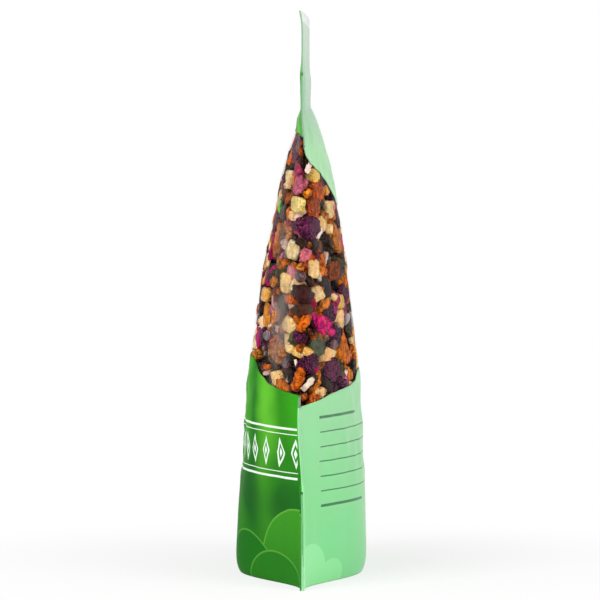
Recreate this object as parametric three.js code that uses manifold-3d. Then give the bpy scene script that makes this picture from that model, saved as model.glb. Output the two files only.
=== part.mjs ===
// A filled stand-up pouch with a window, in millimetres.
// X runs across the pack, -Y is its printed front, +Z is up, and the origin is the middle of the foot.

import * as THREE from 'three';
import { mergeVertices } from 'three/addons/utils/BufferGeometryUtils.js';
import Module from 'manifold-3d';

const wasm = await Module();
wasm.setup();

// Film and seals
const PACK_WIDTH = 130;
const PACK_HEIGHT = 210;
const FILM = 0.2;
const SEAL_GAP = 0.2;
const SIDE_SEAL = 5;
const TOP_SEAL = 12;
const TEAR_DROP = 23;
const TEAR_DEPTH = 2.4;
const TEAR_MOUTH = 1.8;
const PUNCH_LENGTH = 20;
const SEAM_BEHIND = 1;

// Foot: each leaf of the gusset, and how far a leaf lets the filled foot open
const GUSSET_LEAF = 35;
const GUSSET_OPENING = 0.705;
const GUSSET_SEAL_MID = 6;
const LEAF_GAP = 0.35;
const LEAF_SLACK = 0.72;
const CREASE_RISE = 1;
const CORNER_HOLE_RADIUS = 4.5;
const CORNER_HOLE_HEIGHT = 12;
const CORNER_PINCH = 0.9;
const FOOT_TUCK = 1.7;
const FOOT_TUCK_HEIGHT = 2.5;

// Body: how each filled film bulges between its side seals
const HEADER = 33;
const FRONT_TAPER = 0.8;
const FRONT_LEAN = 1;
const BACK_TAPER = 0.7;
const BACK_LEAN = -2.5;
const SEAL_REACH = 8;
const SEAM_FLAP = 12;
const SEAM_CALM = 12;
const SEAM_WAVES = [
  { height: 162, push: 0.85, reach: 14 },
  { height: 62, push: -1.7, reach: 18 },
];

// Press-to-close zip
const ZIP_DROP = 30;
const ZIP_FLANGE_HEIGHT = 12;
const ZIP_FLANGE = 0.2;
const ZIP_SPACE = 1.1;
const ZIP_END_GAP = 2.5;
const ZIP_CLEARANCE = 0.1;
const ZIP_CRUSH_LENGTH = 16;
const ZIP_CRUSHED = 0.5;
const ZIP_FADE = 4;
const HOOK_CAVITY = 0.6;
const HOOK_WALL = 0.35;
const HOOK_LIP = 0.2;
const HOOK_MOUTH = 0.3;

// Window and fill
const WINDOW_BOTTOM = 68;
const WINDOW_DROP = 45;
const FILL_DROP = 42;
const FILL_GAP = 0.8;
const FILL_THINNEST = 0.15;
const FILL_END = 3;
const FRUIT_GAP = 0.6;
const FRUIT_APART = 0.1;
const SETTLE_STEP = 0.01;
const POCKET_GAP = 0.3;

const BULGE_TOP = PACK_HEIGHT - HEADER;
const BULGE_HALF = PACK_WIDTH / 2 - SIDE_SEAL;
const FOOT_DEPTH = GUSSET_LEAF * GUSSET_OPENING;
const ZIP_HEIGHT = PACK_HEIGHT - ZIP_DROP;
const ZIP_HALF = ZIP_SPACE / 2 + ZIP_FLANGE;
const ZIP_FOOT = ZIP_HEIGHT - ZIP_FLANGE_HEIGHT / 2 - 1;
const ZIP_HEAD = ZIP_HEIGHT + ZIP_FLANGE_HEIGHT / 2 + 1;
const WINDOW_TOP = PACK_HEIGHT - WINDOW_DROP;
const FILL_TOP = PACK_HEIGHT - FILL_DROP;
const FOLD_CLEAR = GUSSET_LEAF + 2;
const SEAM_CLOSED = FOLD_CLEAR + 3;
const FOLD_END = GUSSET_LEAF + 14;
const SEALED_FACE = SEAL_GAP / 2 + FILM / 2;
const LEAF_PITCH = FILM + LEAF_GAP;

const FRONT = { y: -1, lean: FRONT_LEAN, taper: FRONT_TAPER };
const BACK = { y: 1, lean: BACK_LEAN, taper: BACK_TAPER };

const PRINTED_GREEN = new THREE.MeshStandardMaterial({ color: 0x4aa023, roughness: 0.35 });
const PRINTED_MINT = new THREE.MeshStandardMaterial({ color: 0x9ed9a5, roughness: 0.35 });
const ZIP_PLASTIC = new THREE.MeshStandardMaterial({ color: 0xeef2ee, roughness: 0.4 });
const BLEND = new THREE.MeshStandardMaterial({ color: 0x6b3a22, roughness: 0.8 });

function clamp01(value) {
  return Math.min(Math.max(value, 0), 1);
}

function ramp(value, from, to) {
  return clamp01((value - from) / (to - from));
}

function spread(from, to, steps) {
  return Array.from({ length: steps + 1 }, (_, i) => from + ((to - from) * i) / steps);
}

// Closed skin through rings that hold the same number of points, with flat ends.
// Each four-sided patch is split along its shorter diagonal, so parallel skins get parallel facets.
function loft(rings, capRing) {
  const count = rings[0].length;
  const positions = rings.flat().flatMap((p) => [p.x, p.y, p.z]);
  const faces = [];
  for (let r = 0; r + 1 < rings.length; r += 1) {
    for (let k = 0; k < count; k += 1) {
      const next = (k + 1) % count;
      const a = r * count + k;
      const b = r * count + next;
      const c = (r + 1) * count + next;
      const d = (r + 1) * count + k;
      const rising = rings[r][k].distanceTo(rings[r + 1][next]);
      const falling = rings[r][next].distanceTo(rings[r + 1][k]);
      if (rising < falling) {
        faces.push(a, b, c, a, c, d);
      } else {
        faces.push(a, b, d, b, c, d);
      }
    }
  }
  const last = (rings.length - 1) * count;
  for (const [i, j, k] of capRing) {
    faces.push(i, k, j, last + i, last + j, last + k);
  }
  const geometry = new THREE.BufferGeometry();
  geometry.setAttribute('position', new THREE.Float32BufferAttribute(positions, 3));
  geometry.setIndex(faces);
  return geometry;
}

// Triangles of a ring that goes up one side of a thin strip and back down the other.
function stripCap(count) {
  const half = count / 2;
  const faces = [];
  for (let k = 0; k + 1 < half; k += 1) {
    const across = count - 1 - k;
    faces.push([k, k + 1, across - 1], [k, across - 1, across]);
  }
  return faces;
}

// Merging shrinks the triangles at a pole to lines, so those are left out.
function toSolid(geometry) {
  const bare = geometry.clone();
  bare.deleteAttribute('normal');
  bare.deleteAttribute('uv');
  const merged = mergeVertices(bare, 1e-5);
  const corners = merged.index.array;
  const faces = [];
  for (let i = 0; i < corners.length; i += 3) {
    const face = corners.slice(i, i + 3);
    if (new Set(face).size === 3) {
      faces.push(...face);
    }
  }
  return new wasm.Manifold(new wasm.Mesh({
    numProp: 3,
    vertProperties: new Float32Array(merged.attributes.position.array),
    triVerts: new Uint32Array(faces),
  }));
}

function toGeometry(solid) {
  const mesh = solid.getMesh();
  const geometry = new THREE.BufferGeometry();
  geometry.setAttribute('position', new THREE.BufferAttribute(mesh.vertProperties, 3));
  geometry.setIndex(new THREE.BufferAttribute(mesh.triVerts, 1));
  return geometry;
}

function largestPart(solid) {
  return solid.decompose().sort((a, b) => b.volume() - a.volume())[0];
}

// Shape of the filled pack: how far the middle of one film stands from the seam plane.
function bulge(side, x, z) {
  const across = Math.min(Math.abs(x) / BULGE_HALF, 1);
  const up = clamp01(z / BULGE_TOP);
  const pinch = 1 + CORNER_PINCH * clamp01(1 - z / GUSSET_LEAF) ** 1.5;
  const lens = (1 - across * across) ** pinch;
  const depth = FOOT_DEPTH * (1 - up * up) ** side.taper;
  const tuck = FOOT_TUCK * Math.exp(-z / FOOT_TUCK_HEIGHT);
  return (depth + side.lean * (1 - up) - tuck) * lens;
}

// Where the zip's hooks are crushed flat towards the side seals: the share of their depth that is left.
function zipPressed(x) {
  const whole = ramp(Math.abs(x), BULGE_HALF - ZIP_END_GAP, BULGE_HALF - ZIP_CRUSH_LENGTH);
  return THREE.MathUtils.lerp(ZIP_CRUSHED, 1, whole);
}

// Room that the zip needs inside the header, down to nothing at the side seals and above and below it.
function zipRoom(x, z) {
  const across = ramp(Math.abs(x), BULGE_HALF, BULGE_HALF - ZIP_END_GAP);
  const below = ramp(z, ZIP_FOOT - ZIP_FADE, ZIP_FOOT);
  const above = ramp(z, ZIP_HEAD + ZIP_FADE, ZIP_HEAD);
  const half = (ZIP_SPACE / 2) * zipPressed(x) + ZIP_FLANGE;
  return (half + ZIP_CLEARANCE + FILM / 2 - SEALED_FACE) * across * below * above;
}

// Room for a leaf of the gusset between the two films. Above the leaf the side seals close at once.
function leafRoom(x, z) {
  const seal = ramp(Math.abs(x), BULGE_HALF - SEAL_REACH, BULGE_HALF);
  return LEAF_PITCH * ramp(z, THREE.MathUtils.lerp(FOLD_END, SEAM_CLOSED, seal), FOLD_CLEAR);
}

function halfDepth(side, x, z) {
  return SEALED_FACE + leafRoom(x, z) + Math.max(bulge(side, x, z), zipRoom(x, z));
}

// Where the seam plane lies: behind the middle of the foot, because the filled pack leans to its front.
// The filled pack also bends the flaps of its side seams out of that plane. The header stays flat.
function seamSway(x, z) {
  const calm = ramp(z, ZIP_FOOT, ZIP_FOOT - SEAM_CALM);
  const wave = SEAM_WAVES.reduce((sum, { height, push, reach }) => (
    sum + push * Math.exp(-(((z - height) / reach) ** 2))
  ), 0);
  return SEAM_BEHIND + wave * calm * (Math.abs(x) / (PACK_WIDTH / 2)) ** SEAM_FLAP;
}

function filmPoint(side, x, z, inward) {
  return new THREE.Vector3(x, side.y * (halfDepth(side, x, z) - inward) + seamSway(x, z), z);
}

function mirrored(positive) {
  return [...positive.map((x) => -x).reverse(), 0, ...positive];
}

const ZIP_COLUMNS = mirrored([
  0.18 * BULGE_HALF, 0.36 * BULGE_HALF, 0.55 * BULGE_HALF,
  ...spread(BULGE_HALF - ZIP_CRUSH_LENGTH, BULGE_HALF - SEAL_REACH, 2),
  BULGE_HALF - SEAL_REACH / 2, BULGE_HALF - ZIP_END_GAP,
]);

const FILM_COLUMNS = mirrored([
  ...ZIP_COLUMNS.filter((x) => x > 0), BULGE_HALF - 1, BULGE_HALF, PACK_WIDTH / 2,
]);

const FILM_ROWS = [
  ...[0, 0.03, 0.07, 0.14, 0.26, 0.4, 0.57, 0.8].map((share) => share * GUSSET_LEAF),
  FOLD_CLEAR, SEAM_CLOSED,
  ...spread(FOLD_END, BULGE_TOP - 12, 12),
  ZIP_FOOT - ZIP_FADE, ZIP_FOOT, ZIP_HEIGHT, ZIP_HEAD, ZIP_HEAD + ZIP_FADE,
  PACK_HEIGHT - TOP_SEAL, PACK_HEIGHT,
];

// One film, cut flush at the foot and the top, with a tear notch in each side seal.
function filmPanel(side) {
  const rings = FILM_COLUMNS.map((x) => {
    const outer = FILM_ROWS.map((z) => filmPoint(side, x, z, -FILM / 2));
    const inner = FILM_ROWS.map((z) => filmPoint(side, x, z, FILM / 2));
    return side.y < 0 ? [...inner, ...outer.reverse()] : [...outer, ...inner.reverse()];
  });
  const sheet = toSolid(loft(rings, stripCap(rings[0].length)));
  return toGeometry(sheet.subtract(tearNotch(-1)).subtract(tearNotch(1)));
}

function tearNotch(end) {
  const edge = PACK_WIDTH / 2;
  const height = PACK_HEIGHT - TEAR_DROP;
  const outline = new THREE.Shape([
    new THREE.Vector2(edge - TEAR_DEPTH, height),
    new THREE.Vector2(edge, height - TEAR_MOUTH / 2),
    new THREE.Vector2(edge + 1, height - TEAR_MOUTH / 2),
    new THREE.Vector2(edge + 1, height + TEAR_MOUTH / 2),
    new THREE.Vector2(edge, height + TEAR_MOUTH / 2),
  ]);
  const prism = new THREE.ExtrudeGeometry(outline, { depth: PUNCH_LENGTH, bevelEnabled: false });
  prism.rotateX(Math.PI / 2);
  prism.translate(0, PUNCH_LENGTH / 2, 0);
  if (end < 0) {
    prism.rotateZ(Math.PI);
  }
  return toSolid(prism);
}

// The curved seal of the foot: low in the middle, as high as the leaf at the side seams.
function gussetSeal(x) {
  const across = Math.min(Math.abs(x) / BULGE_HALF, 1);
  return GUSSET_SEAL_MID + (GUSSET_LEAF - GUSSET_SEAL_MID) * across ** 3;
}

// Height of the gusset's fold, from the length of leaf that is left above the seal.
function gussetFold(x) {
  const seal = gussetSeal(x);
  const leaf = GUSSET_LEAF - seal;
  const reach = (bulge(FRONT, x, seal) + bulge(BACK, x, seal)) / 2;
  const rise = LEAF_SLACK * Math.sqrt(Math.max(leaf * leaf - reach * reach, 0));
  return seal + Math.max(rise, CREASE_RISE);
}

// Middle line of one leaf at x, from the foot up its film and over to the fold.
function leafLine(side, x) {
  const seal = gussetSeal(x);
  const fold = gussetFold(x);
  const top = filmPoint(side, x, seal, LEAF_PITCH);
  const crease = new THREE.Vector3(x, side.y * SEALED_FACE + seamSway(x, seal), fold);
  const turn = new THREE.Vector3(x, THREE.MathUtils.lerp(crease.y, top.y, 0.75), (seal + fold) / 2);
  const free = new THREE.QuadraticBezierCurve3(top, turn, crease);
  const sealed = [0, 0.08, 0.3, 0.65].map((share) => filmPoint(side, x, share * seal, LEAF_PITCH));
  return [...sealed, ...free.getPoints(4)];
}

// The same line moved sideways in its own plane. A rising line moves along +Y.
function offsetLine(points, distance) {
  return points.map((point, i) => {
    const before = points[Math.max(i - 1, 0)];
    const after = points[Math.min(i + 1, points.length - 1)];
    const along = new THREE.Vector2(after.y - before.y, after.z - before.z).normalize();
    const z = Math.max(point.z - along.x * distance, 0);
    return new THREE.Vector3(point.x, point.y + along.y * distance, z);
  });
}

// Section of the whole gusset at x, from front to back, moved towards the fill by outward.
function gussetLine(x, outward) {
  const front = offsetLine(leafLine(FRONT, x), -outward);
  const back = offsetLine(leafLine(BACK, x), outward);
  const crease = new THREE.Vector3(x, seamSway(x, gussetSeal(x)), gussetFold(x) + SEALED_FACE + outward);
  return [...front, crease, ...back.reverse()];
}

// Holes at the outer corners of the gusset let the two panels seal to each other there.
function baseGusset() {
  const rings = FILM_COLUMNS.map((x) => (
    [...gussetLine(x, -FILM / 2), ...gussetLine(x, FILM / 2).reverse()]
  ));
  const sheet = toSolid(loft(rings, stripCap(rings[0].length)));
  const holes = [-1, 1].map((end) => {
    const punch = new THREE.CylinderGeometry(CORNER_HOLE_RADIUS, CORNER_HOLE_RADIUS, PUNCH_LENGTH, 14);
    punch.translate((end * PACK_WIDTH) / 2, 0, CORNER_HOLE_HEIGHT);
    return toSolid(punch);
  });
  return toGeometry(holes.reduce((solid, hole) => solid.subtract(hole), sheet));
}

// A strip of the zip, from its section in Y and Z. Its flange keeps its thickness where the hooks
// are crushed.
function zipStrip(section) {
  const depth = (y, pressed) => {
    const hooks = Math.min(Math.abs(y), ZIP_SPACE / 2);
    return Math.sign(y) * (hooks * pressed + Math.abs(y) - hooks);
  };
  const rings = ZIP_COLUMNS.map((x) => section.map((p) => (
    new THREE.Vector3(x, depth(p.x, zipPressed(x)) + seamSway(x, ZIP_HEIGHT), ZIP_HEIGHT + p.y)
  )));
  return loft(rings, outlineCap(rings[0]));
}

// Mirrors a half outline, given from the middle upwards, to the whole one.
function bothHalves(half) {
  const upper = half.map(([y, z]) => new THREE.Vector2(y, z));
  const lower = half.map(([y, z]) => new THREE.Vector2(y, -z)).reverse();
  return [...upper, ...lower];
}

const LIP_TIP = ZIP_SPACE / 2 - ZIP_FLANGE;
const BARB_BACK = LIP_TIP - HOOK_LIP - ZIP_CLEARANCE;

// An arrow on a stem, which snaps behind the hooks' lips.
function zipMale() {
  const flange = ZIP_SPACE / 2;
  return zipStrip(bothHalves([
    [LIP_TIP + ZIP_CLEARANCE, HOOK_MOUTH / 2],
    [-BARB_BACK, HOOK_CAVITY - ZIP_CLEARANCE * 1.5],
    [-BARB_BACK, HOOK_MOUTH - ZIP_CLEARANCE],
    [-flange, HOOK_MOUTH - ZIP_CLEARANCE],
    [-flange, ZIP_FLANGE_HEIGHT / 2],
    [-ZIP_HALF, ZIP_FLANGE_HEIGHT / 2],
  ]));
}

// Two hooks on a flange, with lips that close behind the arrow.
function zipFemale() {
  const flange = ZIP_SPACE / 2;
  return zipStrip(bothHalves([
    [flange, HOOK_CAVITY],
    [HOOK_LIP - LIP_TIP, HOOK_CAVITY],
    [HOOK_LIP - LIP_TIP, HOOK_MOUTH],
    [-LIP_TIP, HOOK_MOUTH],
    [-LIP_TIP, HOOK_CAVITY + HOOK_WALL],
    [flange, HOOK_CAVITY + HOOK_WALL],
    [flange, ZIP_FLANGE_HEIGHT / 2],
    [ZIP_HALF, ZIP_FLANGE_HEIGHT / 2],
  ]).reverse());
}

// Triangles that close the end of any ring, from its outline in Y and Z.
function outlineCap(ring) {
  return THREE.ShapeUtils.triangulateShape(ring.map((p) => new THREE.Vector2(p.y, p.z)), []);
}

// Face of the fill towards one film. It never thins to nothing at the side seams.
function fillPoint(side, x, z) {
  const depth = Math.max(halfDepth(side, x, z) - FILM / 2 - FILL_GAP, FILL_THINNEST);
  return new THREE.Vector3(x, side.y * depth + seamSway(x, z), z);
}

const FILL_COLUMNS = FILM_COLUMNS.filter((x) => Math.abs(x) < BULGE_HALF - FILL_END);
const FILL_ROWS = [...FILM_ROWS.filter((z) => z > FILM && z < FILL_TOP - 1), FILL_TOP];

// Section of all that lies under the gusset at x, with the fill's clearance.
function underGusset(x) {
  const line = gussetLine(x, FILM / 2 + FILL_GAP);
  const front = new THREE.Vector3(x, line[0].y, -FILL_GAP);
  const back = new THREE.Vector3(x, line.at(-1).y, -FILL_GAP);
  return [front, back, ...line.reverse()];
}

// All that fills the pack between the films, down to the gusset.
function fillBody() {
  const rings = FILL_COLUMNS.map((x) => [
    ...FILL_ROWS.map((z) => fillPoint(BACK, x, z)),
    ...FILL_ROWS.map((z) => fillPoint(FRONT, x, z)).reverse(),
  ]);
  const under = FILM_COLUMNS.map(underGusset);
  const fill = toSolid(loft(rings, outlineCap(rings[0])));
  return fill.subtract(toSolid(loft(under, outlineCap(under[0]))));
}

// Cut fruit with its edges broken.
function dice([width, thickness, height]) {
  const edge = 0.14 * Math.min(width, thickness, height);
  const w = width / 2;
  const h = height / 2;
  const corners = [[w - edge, -h], [w, edge - h], [w, h - edge], [w - edge, h]];
  const opposite = corners.map(([x, y]) => [-x, -y]);
  const outline = [...corners, ...opposite].map(([x, y]) => new THREE.Vector2(x, y));
  const cut = new THREE.ExtrudeGeometry(new THREE.Shape(outline), {
    depth: thickness - 2 * edge,
    bevelThickness: edge,
    bevelSize: edge,
    bevelOffset: -edge,
    bevelSegments: 1,
  });
  cut.rotateX(Math.PI / 2);
  return cut;
}

// A ball whose radius swells and sinks in lobes round it and from pole to pole.
function lobed([width, thickness, height], lobes, depth) {
  const ball = new THREE.SphereGeometry(0.5, 10, 7);
  const places = ball.attributes.position;
  const point = new THREE.Vector3();
  for (let i = 0; i < places.count; i += 1) {
    point.fromBufferAttribute(places, i);
    const round = Math.atan2(point.z, point.x);
    const middle = 1 - (2 * point.y) ** 2;
    point.multiplyScalar(1 - depth + depth * Math.cos(lobes * round + 6 * point.y) * middle);
    places.setXYZ(i, point.x * width, point.y * thickness, point.z * height);
  }
  return ball;
}

// A round berry, dented where its dry calyx sits.
function currant([width, thickness, height]) {
  const side = [[0, -0.5], [0.3, -0.42], [0.48, -0.15], [0.48, 0.15], [0.3, 0.42]];
  const calyx = [[0.1, 0.36], [0, 0.36]];
  const profile = [...side, ...calyx].map(([r, y]) => new THREE.Vector2(r, y));
  const berry = new THREE.LatheGeometry(profile, 9);
  berry.rotateX(0.5);
  berry.scale(width, thickness, height);
  return berry;
}

// A thin piece that curls along its height. The outline gives its share of the width at each step.
function curled([width, thickness, height], turn, outline, midrib) {
  const radius = height / turn;
  const steps = spread(-0.5, 0.5, outline.length - 1);
  const rings = steps.map((step, i) => {
    const angle = step * turn;
    const across = (outline[i] * width) / 2;
    const at = (x, lift) => new THREE.Vector3(
      x, (radius + lift) * Math.cos(angle) - radius, (radius + lift) * Math.sin(angle),
    );
    const low = -thickness / 2;
    const high = thickness / 2;
    const ridge = midrib * across;
    const under = [at(-across, low), at(0, low + ridge), at(across, low)];
    return [...under, at(across, high), at(0, high + ridge), at(-across, high)];
  });
  return loft(rings, stripCap(6));
}

const bramble = (size) => lobed(size, 5, 0.08);
const raisin = (size) => lobed(size, 3, 0.12);
const petal = (size) => curled(size, 0.9, [0.35, 0.8, 1, 0.95, 0.6], 0.1);
const peel = (size) => curled(size, 1.4, [0.8, 1, 0.95, 1, 0.7], 0);
const slice = (size) => curled(size, 1.8, [0.5, 0.9, 1, 0.9, 0.5], -0.12);
const leaf = (size) => curled(size, 0.5, [0.25, 0.85, 1, 0.8, 0.45], 0.2);
const shaving = (size) => curled(size, 1, [0.7, 1, 0.9, 0.8], 0);

// The pieces of the blend that show one by one in the window. The first share of at counts from the
// middle of the bulge to its side, the second from the bottom of the window to its top.
// turn is in degrees, and size is the width, thickness and height as the piece lies against the film.
const FRUIT = [
  { name: 'sugared_berry_1', make: bramble, side: FRONT, at: [0.75, 0.92], turn: 10, size: [9.5, 4.5, 7] },
  { name: 'sugared_berry_2', make: bramble, side: FRONT, at: [0.89, 0.65], turn: 30, size: [7, 2.8, 6.5] },
  { name: 'sugared_berry_3', make: bramble, side: BACK, at: [0.72, 0.82], turn: 0, size: [6.5, 4, 4.5] },
  { name: 'sugared_berry_4', make: bramble, side: BACK, at: [0.75, 0.11], turn: 20, size: [11, 6, 8.5] },
  { name: 'sugared_berry_5', make: bramble, side: BACK, at: [0.47, 0.38], turn: 60, size: [8.5, 6, 7] },
  { name: 'pineapple_dice_1', make: dice, side: FRONT, at: [0.63, 0.83], turn: 12, size: [7.5, 5, 6] },
  { name: 'pineapple_dice_2', make: dice, side: FRONT, at: [0.88, 0.75], turn: 8, size: [4.5, 1.8, 5] },
  { name: 'pineapple_dice_3', make: dice, side: FRONT, at: [0.84, 0.575], turn: -14, size: [6.5, 3.8, 6.5] },
  { name: 'pineapple_dice_4', make: dice, side: FRONT, at: [0.87, 0.22], turn: 2, size: [6, 4.5, 7.5] },
  { name: 'pineapple_dice_5', make: dice, side: BACK, at: [0.87, 0.495], turn: 3, size: [5, 3, 6] },
  { name: 'papaya_dice_1', make: dice, side: FRONT, at: [0.47, 0.38], turn: -8, size: [6.5, 5, 5.5] },
  { name: 'papaya_dice_2', make: dice, side: BACK, at: [0.54, 0.71], turn: 14, size: [8, 6, 6] },
  { name: 'currant_1', make: currant, side: FRONT, at: [0.92, 0.46], turn: 0, size: [4, 2.2, 4] },
  { name: 'currant_2', make: currant, side: FRONT, at: [0.59, 0.23], turn: 40, size: [6, 6, 5] },
  { name: 'currant_3', make: currant, side: BACK, at: [0.42, 0.3], turn: -30, size: [6, 6, 5] },
  { name: 'raisin_1', make: raisin, side: FRONT, at: [0.65, 0.71], turn: 15, size: [5.5, 3.5, 5.5] },
  { name: 'raisin_2', make: raisin, side: BACK, at: [0.6, 0.48], turn: 10, size: [8.5, 5.5, 7.5] },
  { name: 'rose_petal_1', make: petal, side: FRONT, at: [0.88, 0.84], turn: -28, size: [4, 0.7, 5] },
  { name: 'rose_petal_2', make: petal, side: BACK, at: [0.36, 0.6], turn: -20, size: [9, 0.8, 6] },
  { name: 'rose_petal_3', make: petal, side: FRONT, at: [0.45, 0.48], turn: 25, size: [7.5, 1, 7] },
  { name: 'rose_petal_4', make: petal, side: FRONT, at: [0.39, 0.22], turn: 0, size: [5, 0.7, 7.5] },
  { name: 'rose_petal_5', make: petal, side: BACK, at: [0.9, 0.565], turn: -35, size: [4, 0.6, 4.5] },
  { name: 'rose_petal_6', make: petal, side: BACK, at: [0.64, 0.33], turn: 10, size: [5.5, 0.7, 5.5] },
  { name: 'rose_petal_7', make: petal, side: BACK, at: [0.82, 0.28], turn: 30, size: [8, 1, 7.5] },
  { name: 'rose_petal_8', make: petal, side: BACK, at: [0.88, 0.38], turn: -35, size: [4.5, 0.6, 5] },
  { name: 'orange_peel_1', make: peel, side: FRONT, at: [0.61, 0.62], turn: 20, size: [6, 1.6, 8] },
  { name: 'orange_peel_2', make: peel, side: FRONT, at: [0.91, 0.08], turn: -25, size: [4.5, 1.2, 7.5] },
  { name: 'orange_peel_3', make: peel, side: BACK, at: [0.89, 0.79], turn: 85, size: [3.5, 0.8, 4] },
  { name: 'orange_peel_4', make: peel, side: BACK, at: [0.55, 0.8], turn: 60, size: [4.5, 1.3, 6.5] },
  { name: 'orange_peel_5', make: peel, side: BACK, at: [0.51, 0.22], turn: -25, size: [5, 1.4, 7.5] },
  { name: 'orange_peel_6', make: peel, side: BACK, at: [0.46, 0.14], turn: 40, size: [6, 1.6, 6.5] },
  { name: 'apple_slice_1', make: slice, side: FRONT, at: [0.26, 0.51], turn: 10, size: [8, 1.8, 8] },
  { name: 'apple_slice_2', make: slice, side: FRONT, at: [0.65, 0.44], turn: -50, size: [6, 1.5, 6] },
  { name: 'apple_slice_3', make: slice, side: BACK, at: [0.84, 0.03], turn: 60, size: [5, 1.4, 5] },
  { name: 'rosehip_1', make: slice, side: BACK, at: [0.81, 0.71], turn: 20, size: [5, 1.6, 6] },
  { name: 'leaf_bit_1', make: leaf, side: FRONT, at: [0.47, 0.73], turn: 10, size: [5, 0.5, 6] },
  { name: 'leaf_bit_2', make: leaf, side: FRONT, at: [0.78, 0.36], turn: 40, size: [7, 0.7, 7.5] },
  { name: 'leaf_bit_3', make: leaf, side: BACK, at: [0.85, 0.19], turn: 25, size: [5.5, 0.6, 6.5] },
  { name: 'leaf_bit_4', make: leaf, side: BACK, at: [0.3, 0.26], turn: -10, size: [5.5, 0.5, 7] },
  { name: 'coconut_shaving_1', make: shaving, side: FRONT, at: [0.44, 0.3], turn: -30, size: [5, 0.8, 6.5] },
  { name: 'coconut_shaving_2', make: shaving, side: BACK, at: [0.78, 0.63], turn: 35, size: [4.5, 0.7, 7] },
  { name: 'coconut_shaving_3', make: shaving, side: BACK, at: [0.86, 0.9], turn: 40, size: [4, 0.6, 4.5] },
  { name: 'coconut_shaving_4', make: shaving, side: BACK, at: [0.51, 0.06], turn: 35, size: [5, 0.8, 6] },
];

const FRUIT_COLOURS = new Map([
  [bramble, 0x3a1230],
  [raisin, 0x3b2018],
  [currant, 0x1d1216],
  [dice, 0xe6b882],
  [petal, 0xb0305f],
  [peel, 0xc4692a],
  [slice, 0x9a5428],
  [leaf, 0x4c5a38],
  [shaving, 0xead8cc],
]);

// A piece's mesh, laid against the inside of its film and turned about the film's normal.
function fruitMesh({ name, make, side, at, turn, size }) {
  const [across, up] = at;
  const x = across * BULGE_HALF;
  const z = THREE.MathUtils.lerp(WINDOW_BOTTOM, WINDOW_TOP, up);
  const geometry = make(size);
  geometry.computeBoundingBox();
  const centre = geometry.boundingBox.getCenter(new THREE.Vector3());
  geometry.translate(-centre.x, -geometry.boundingBox.max.y, -centre.z);
  geometry.computeBoundingBox();

  const onFilm = (dx, dz) => filmPoint(side, x + dx, z + dz, FILM / 2);
  const upward = onFilm(0, 1).sub(onFilm(0, -1)).normalize();
  const outward = upward.clone().cross(onFilm(side.y, 0).sub(onFilm(-side.y, 0))).normalize();
  const sideways = outward.clone().cross(upward);
  const mesh = new THREE.Mesh(geometry, new THREE.MeshStandardMaterial({
    color: FRUIT_COLOURS.get(make),
    roughness: 0.6,
  }));
  mesh.name = name;
  mesh.quaternion.setFromRotationMatrix(new THREE.Matrix4().makeBasis(sideways, outward, upward));
  mesh.rotateY(THREE.MathUtils.degToRad(turn));
  mesh.position.copy(onFilm(0, 0)).addScaledVector(outward, -FRUIT_GAP);
  mesh.updateMatrixWorld();
  return mesh;
}

// A piece lies at its own place, or nearer the middle of its film where an earlier piece is in the way.
function settled(earlier, piece) {
  let [across, up] = piece.at;
  let mesh = fruitMesh(piece);
  let solid = toSolid(mesh.geometry.clone().applyMatrix4(mesh.matrixWorld));
  const crowded = (other) => solid.minGap(other.solid, FRUIT_APART) < FRUIT_APART;
  while (earlier.some(crowded) && across > -1) {
    across -= SETTLE_STEP;
    mesh = fruitMesh({ ...piece, at: [across, up] });
    solid = toSolid(mesh.geometry.clone().applyMatrix4(mesh.matrixWorld));
  }
  return [...earlier, { mesh, solid }];
}

// The pocket that a piece leaves in the rest of the blend.
function pocket(mesh) {
  const box = mesh.geometry.boundingBox;
  const room = box.getSize(new THREE.Vector3()).addScalar(2 * POCKET_GAP);
  const hollow = new THREE.BoxGeometry(room.x, room.y, room.z);
  const centre = box.getCenter(new THREE.Vector3());
  hollow.translate(centre.x, centre.y, centre.z);
  return toSolid(hollow.applyMatrix4(mesh.matrixWorld));
}

function named(name, geometry, material) {
  const mesh = new THREE.Mesh(geometry, material);
  mesh.name = name;
  return mesh;
}

const fruit = FRUIT.reduce(settled, []).map(({ mesh }) => mesh);
const blend = fruit.reduce((solid, mesh) => solid.subtract(pocket(mesh)), fillBody());

const pouch = new THREE.Group();
pouch.add(named('front_panel', filmPanel(FRONT), PRINTED_GREEN));
pouch.add(named('back_panel', filmPanel(BACK), PRINTED_MINT));
pouch.add(named('base_gusset', baseGusset(), PRINTED_MINT));
pouch.add(named('zip_male', zipMale(), ZIP_PLASTIC));
pouch.add(named('zip_female', zipFemale(), ZIP_PLASTIC));
pouch.add(named('loose_blend', toGeometry(largestPart(blend)), BLEND));
pouch.add(...fruit);

export default pouch;
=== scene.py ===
"""A filled stand-up pouch with a clear window band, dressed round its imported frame.

Helpers work in millimetres, with X across the pack, -Y its printed front and +Z up.
Meshes and objects are made in metres.
"""
import math
from collections import namedtuple
from functools import partialmethod

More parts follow.
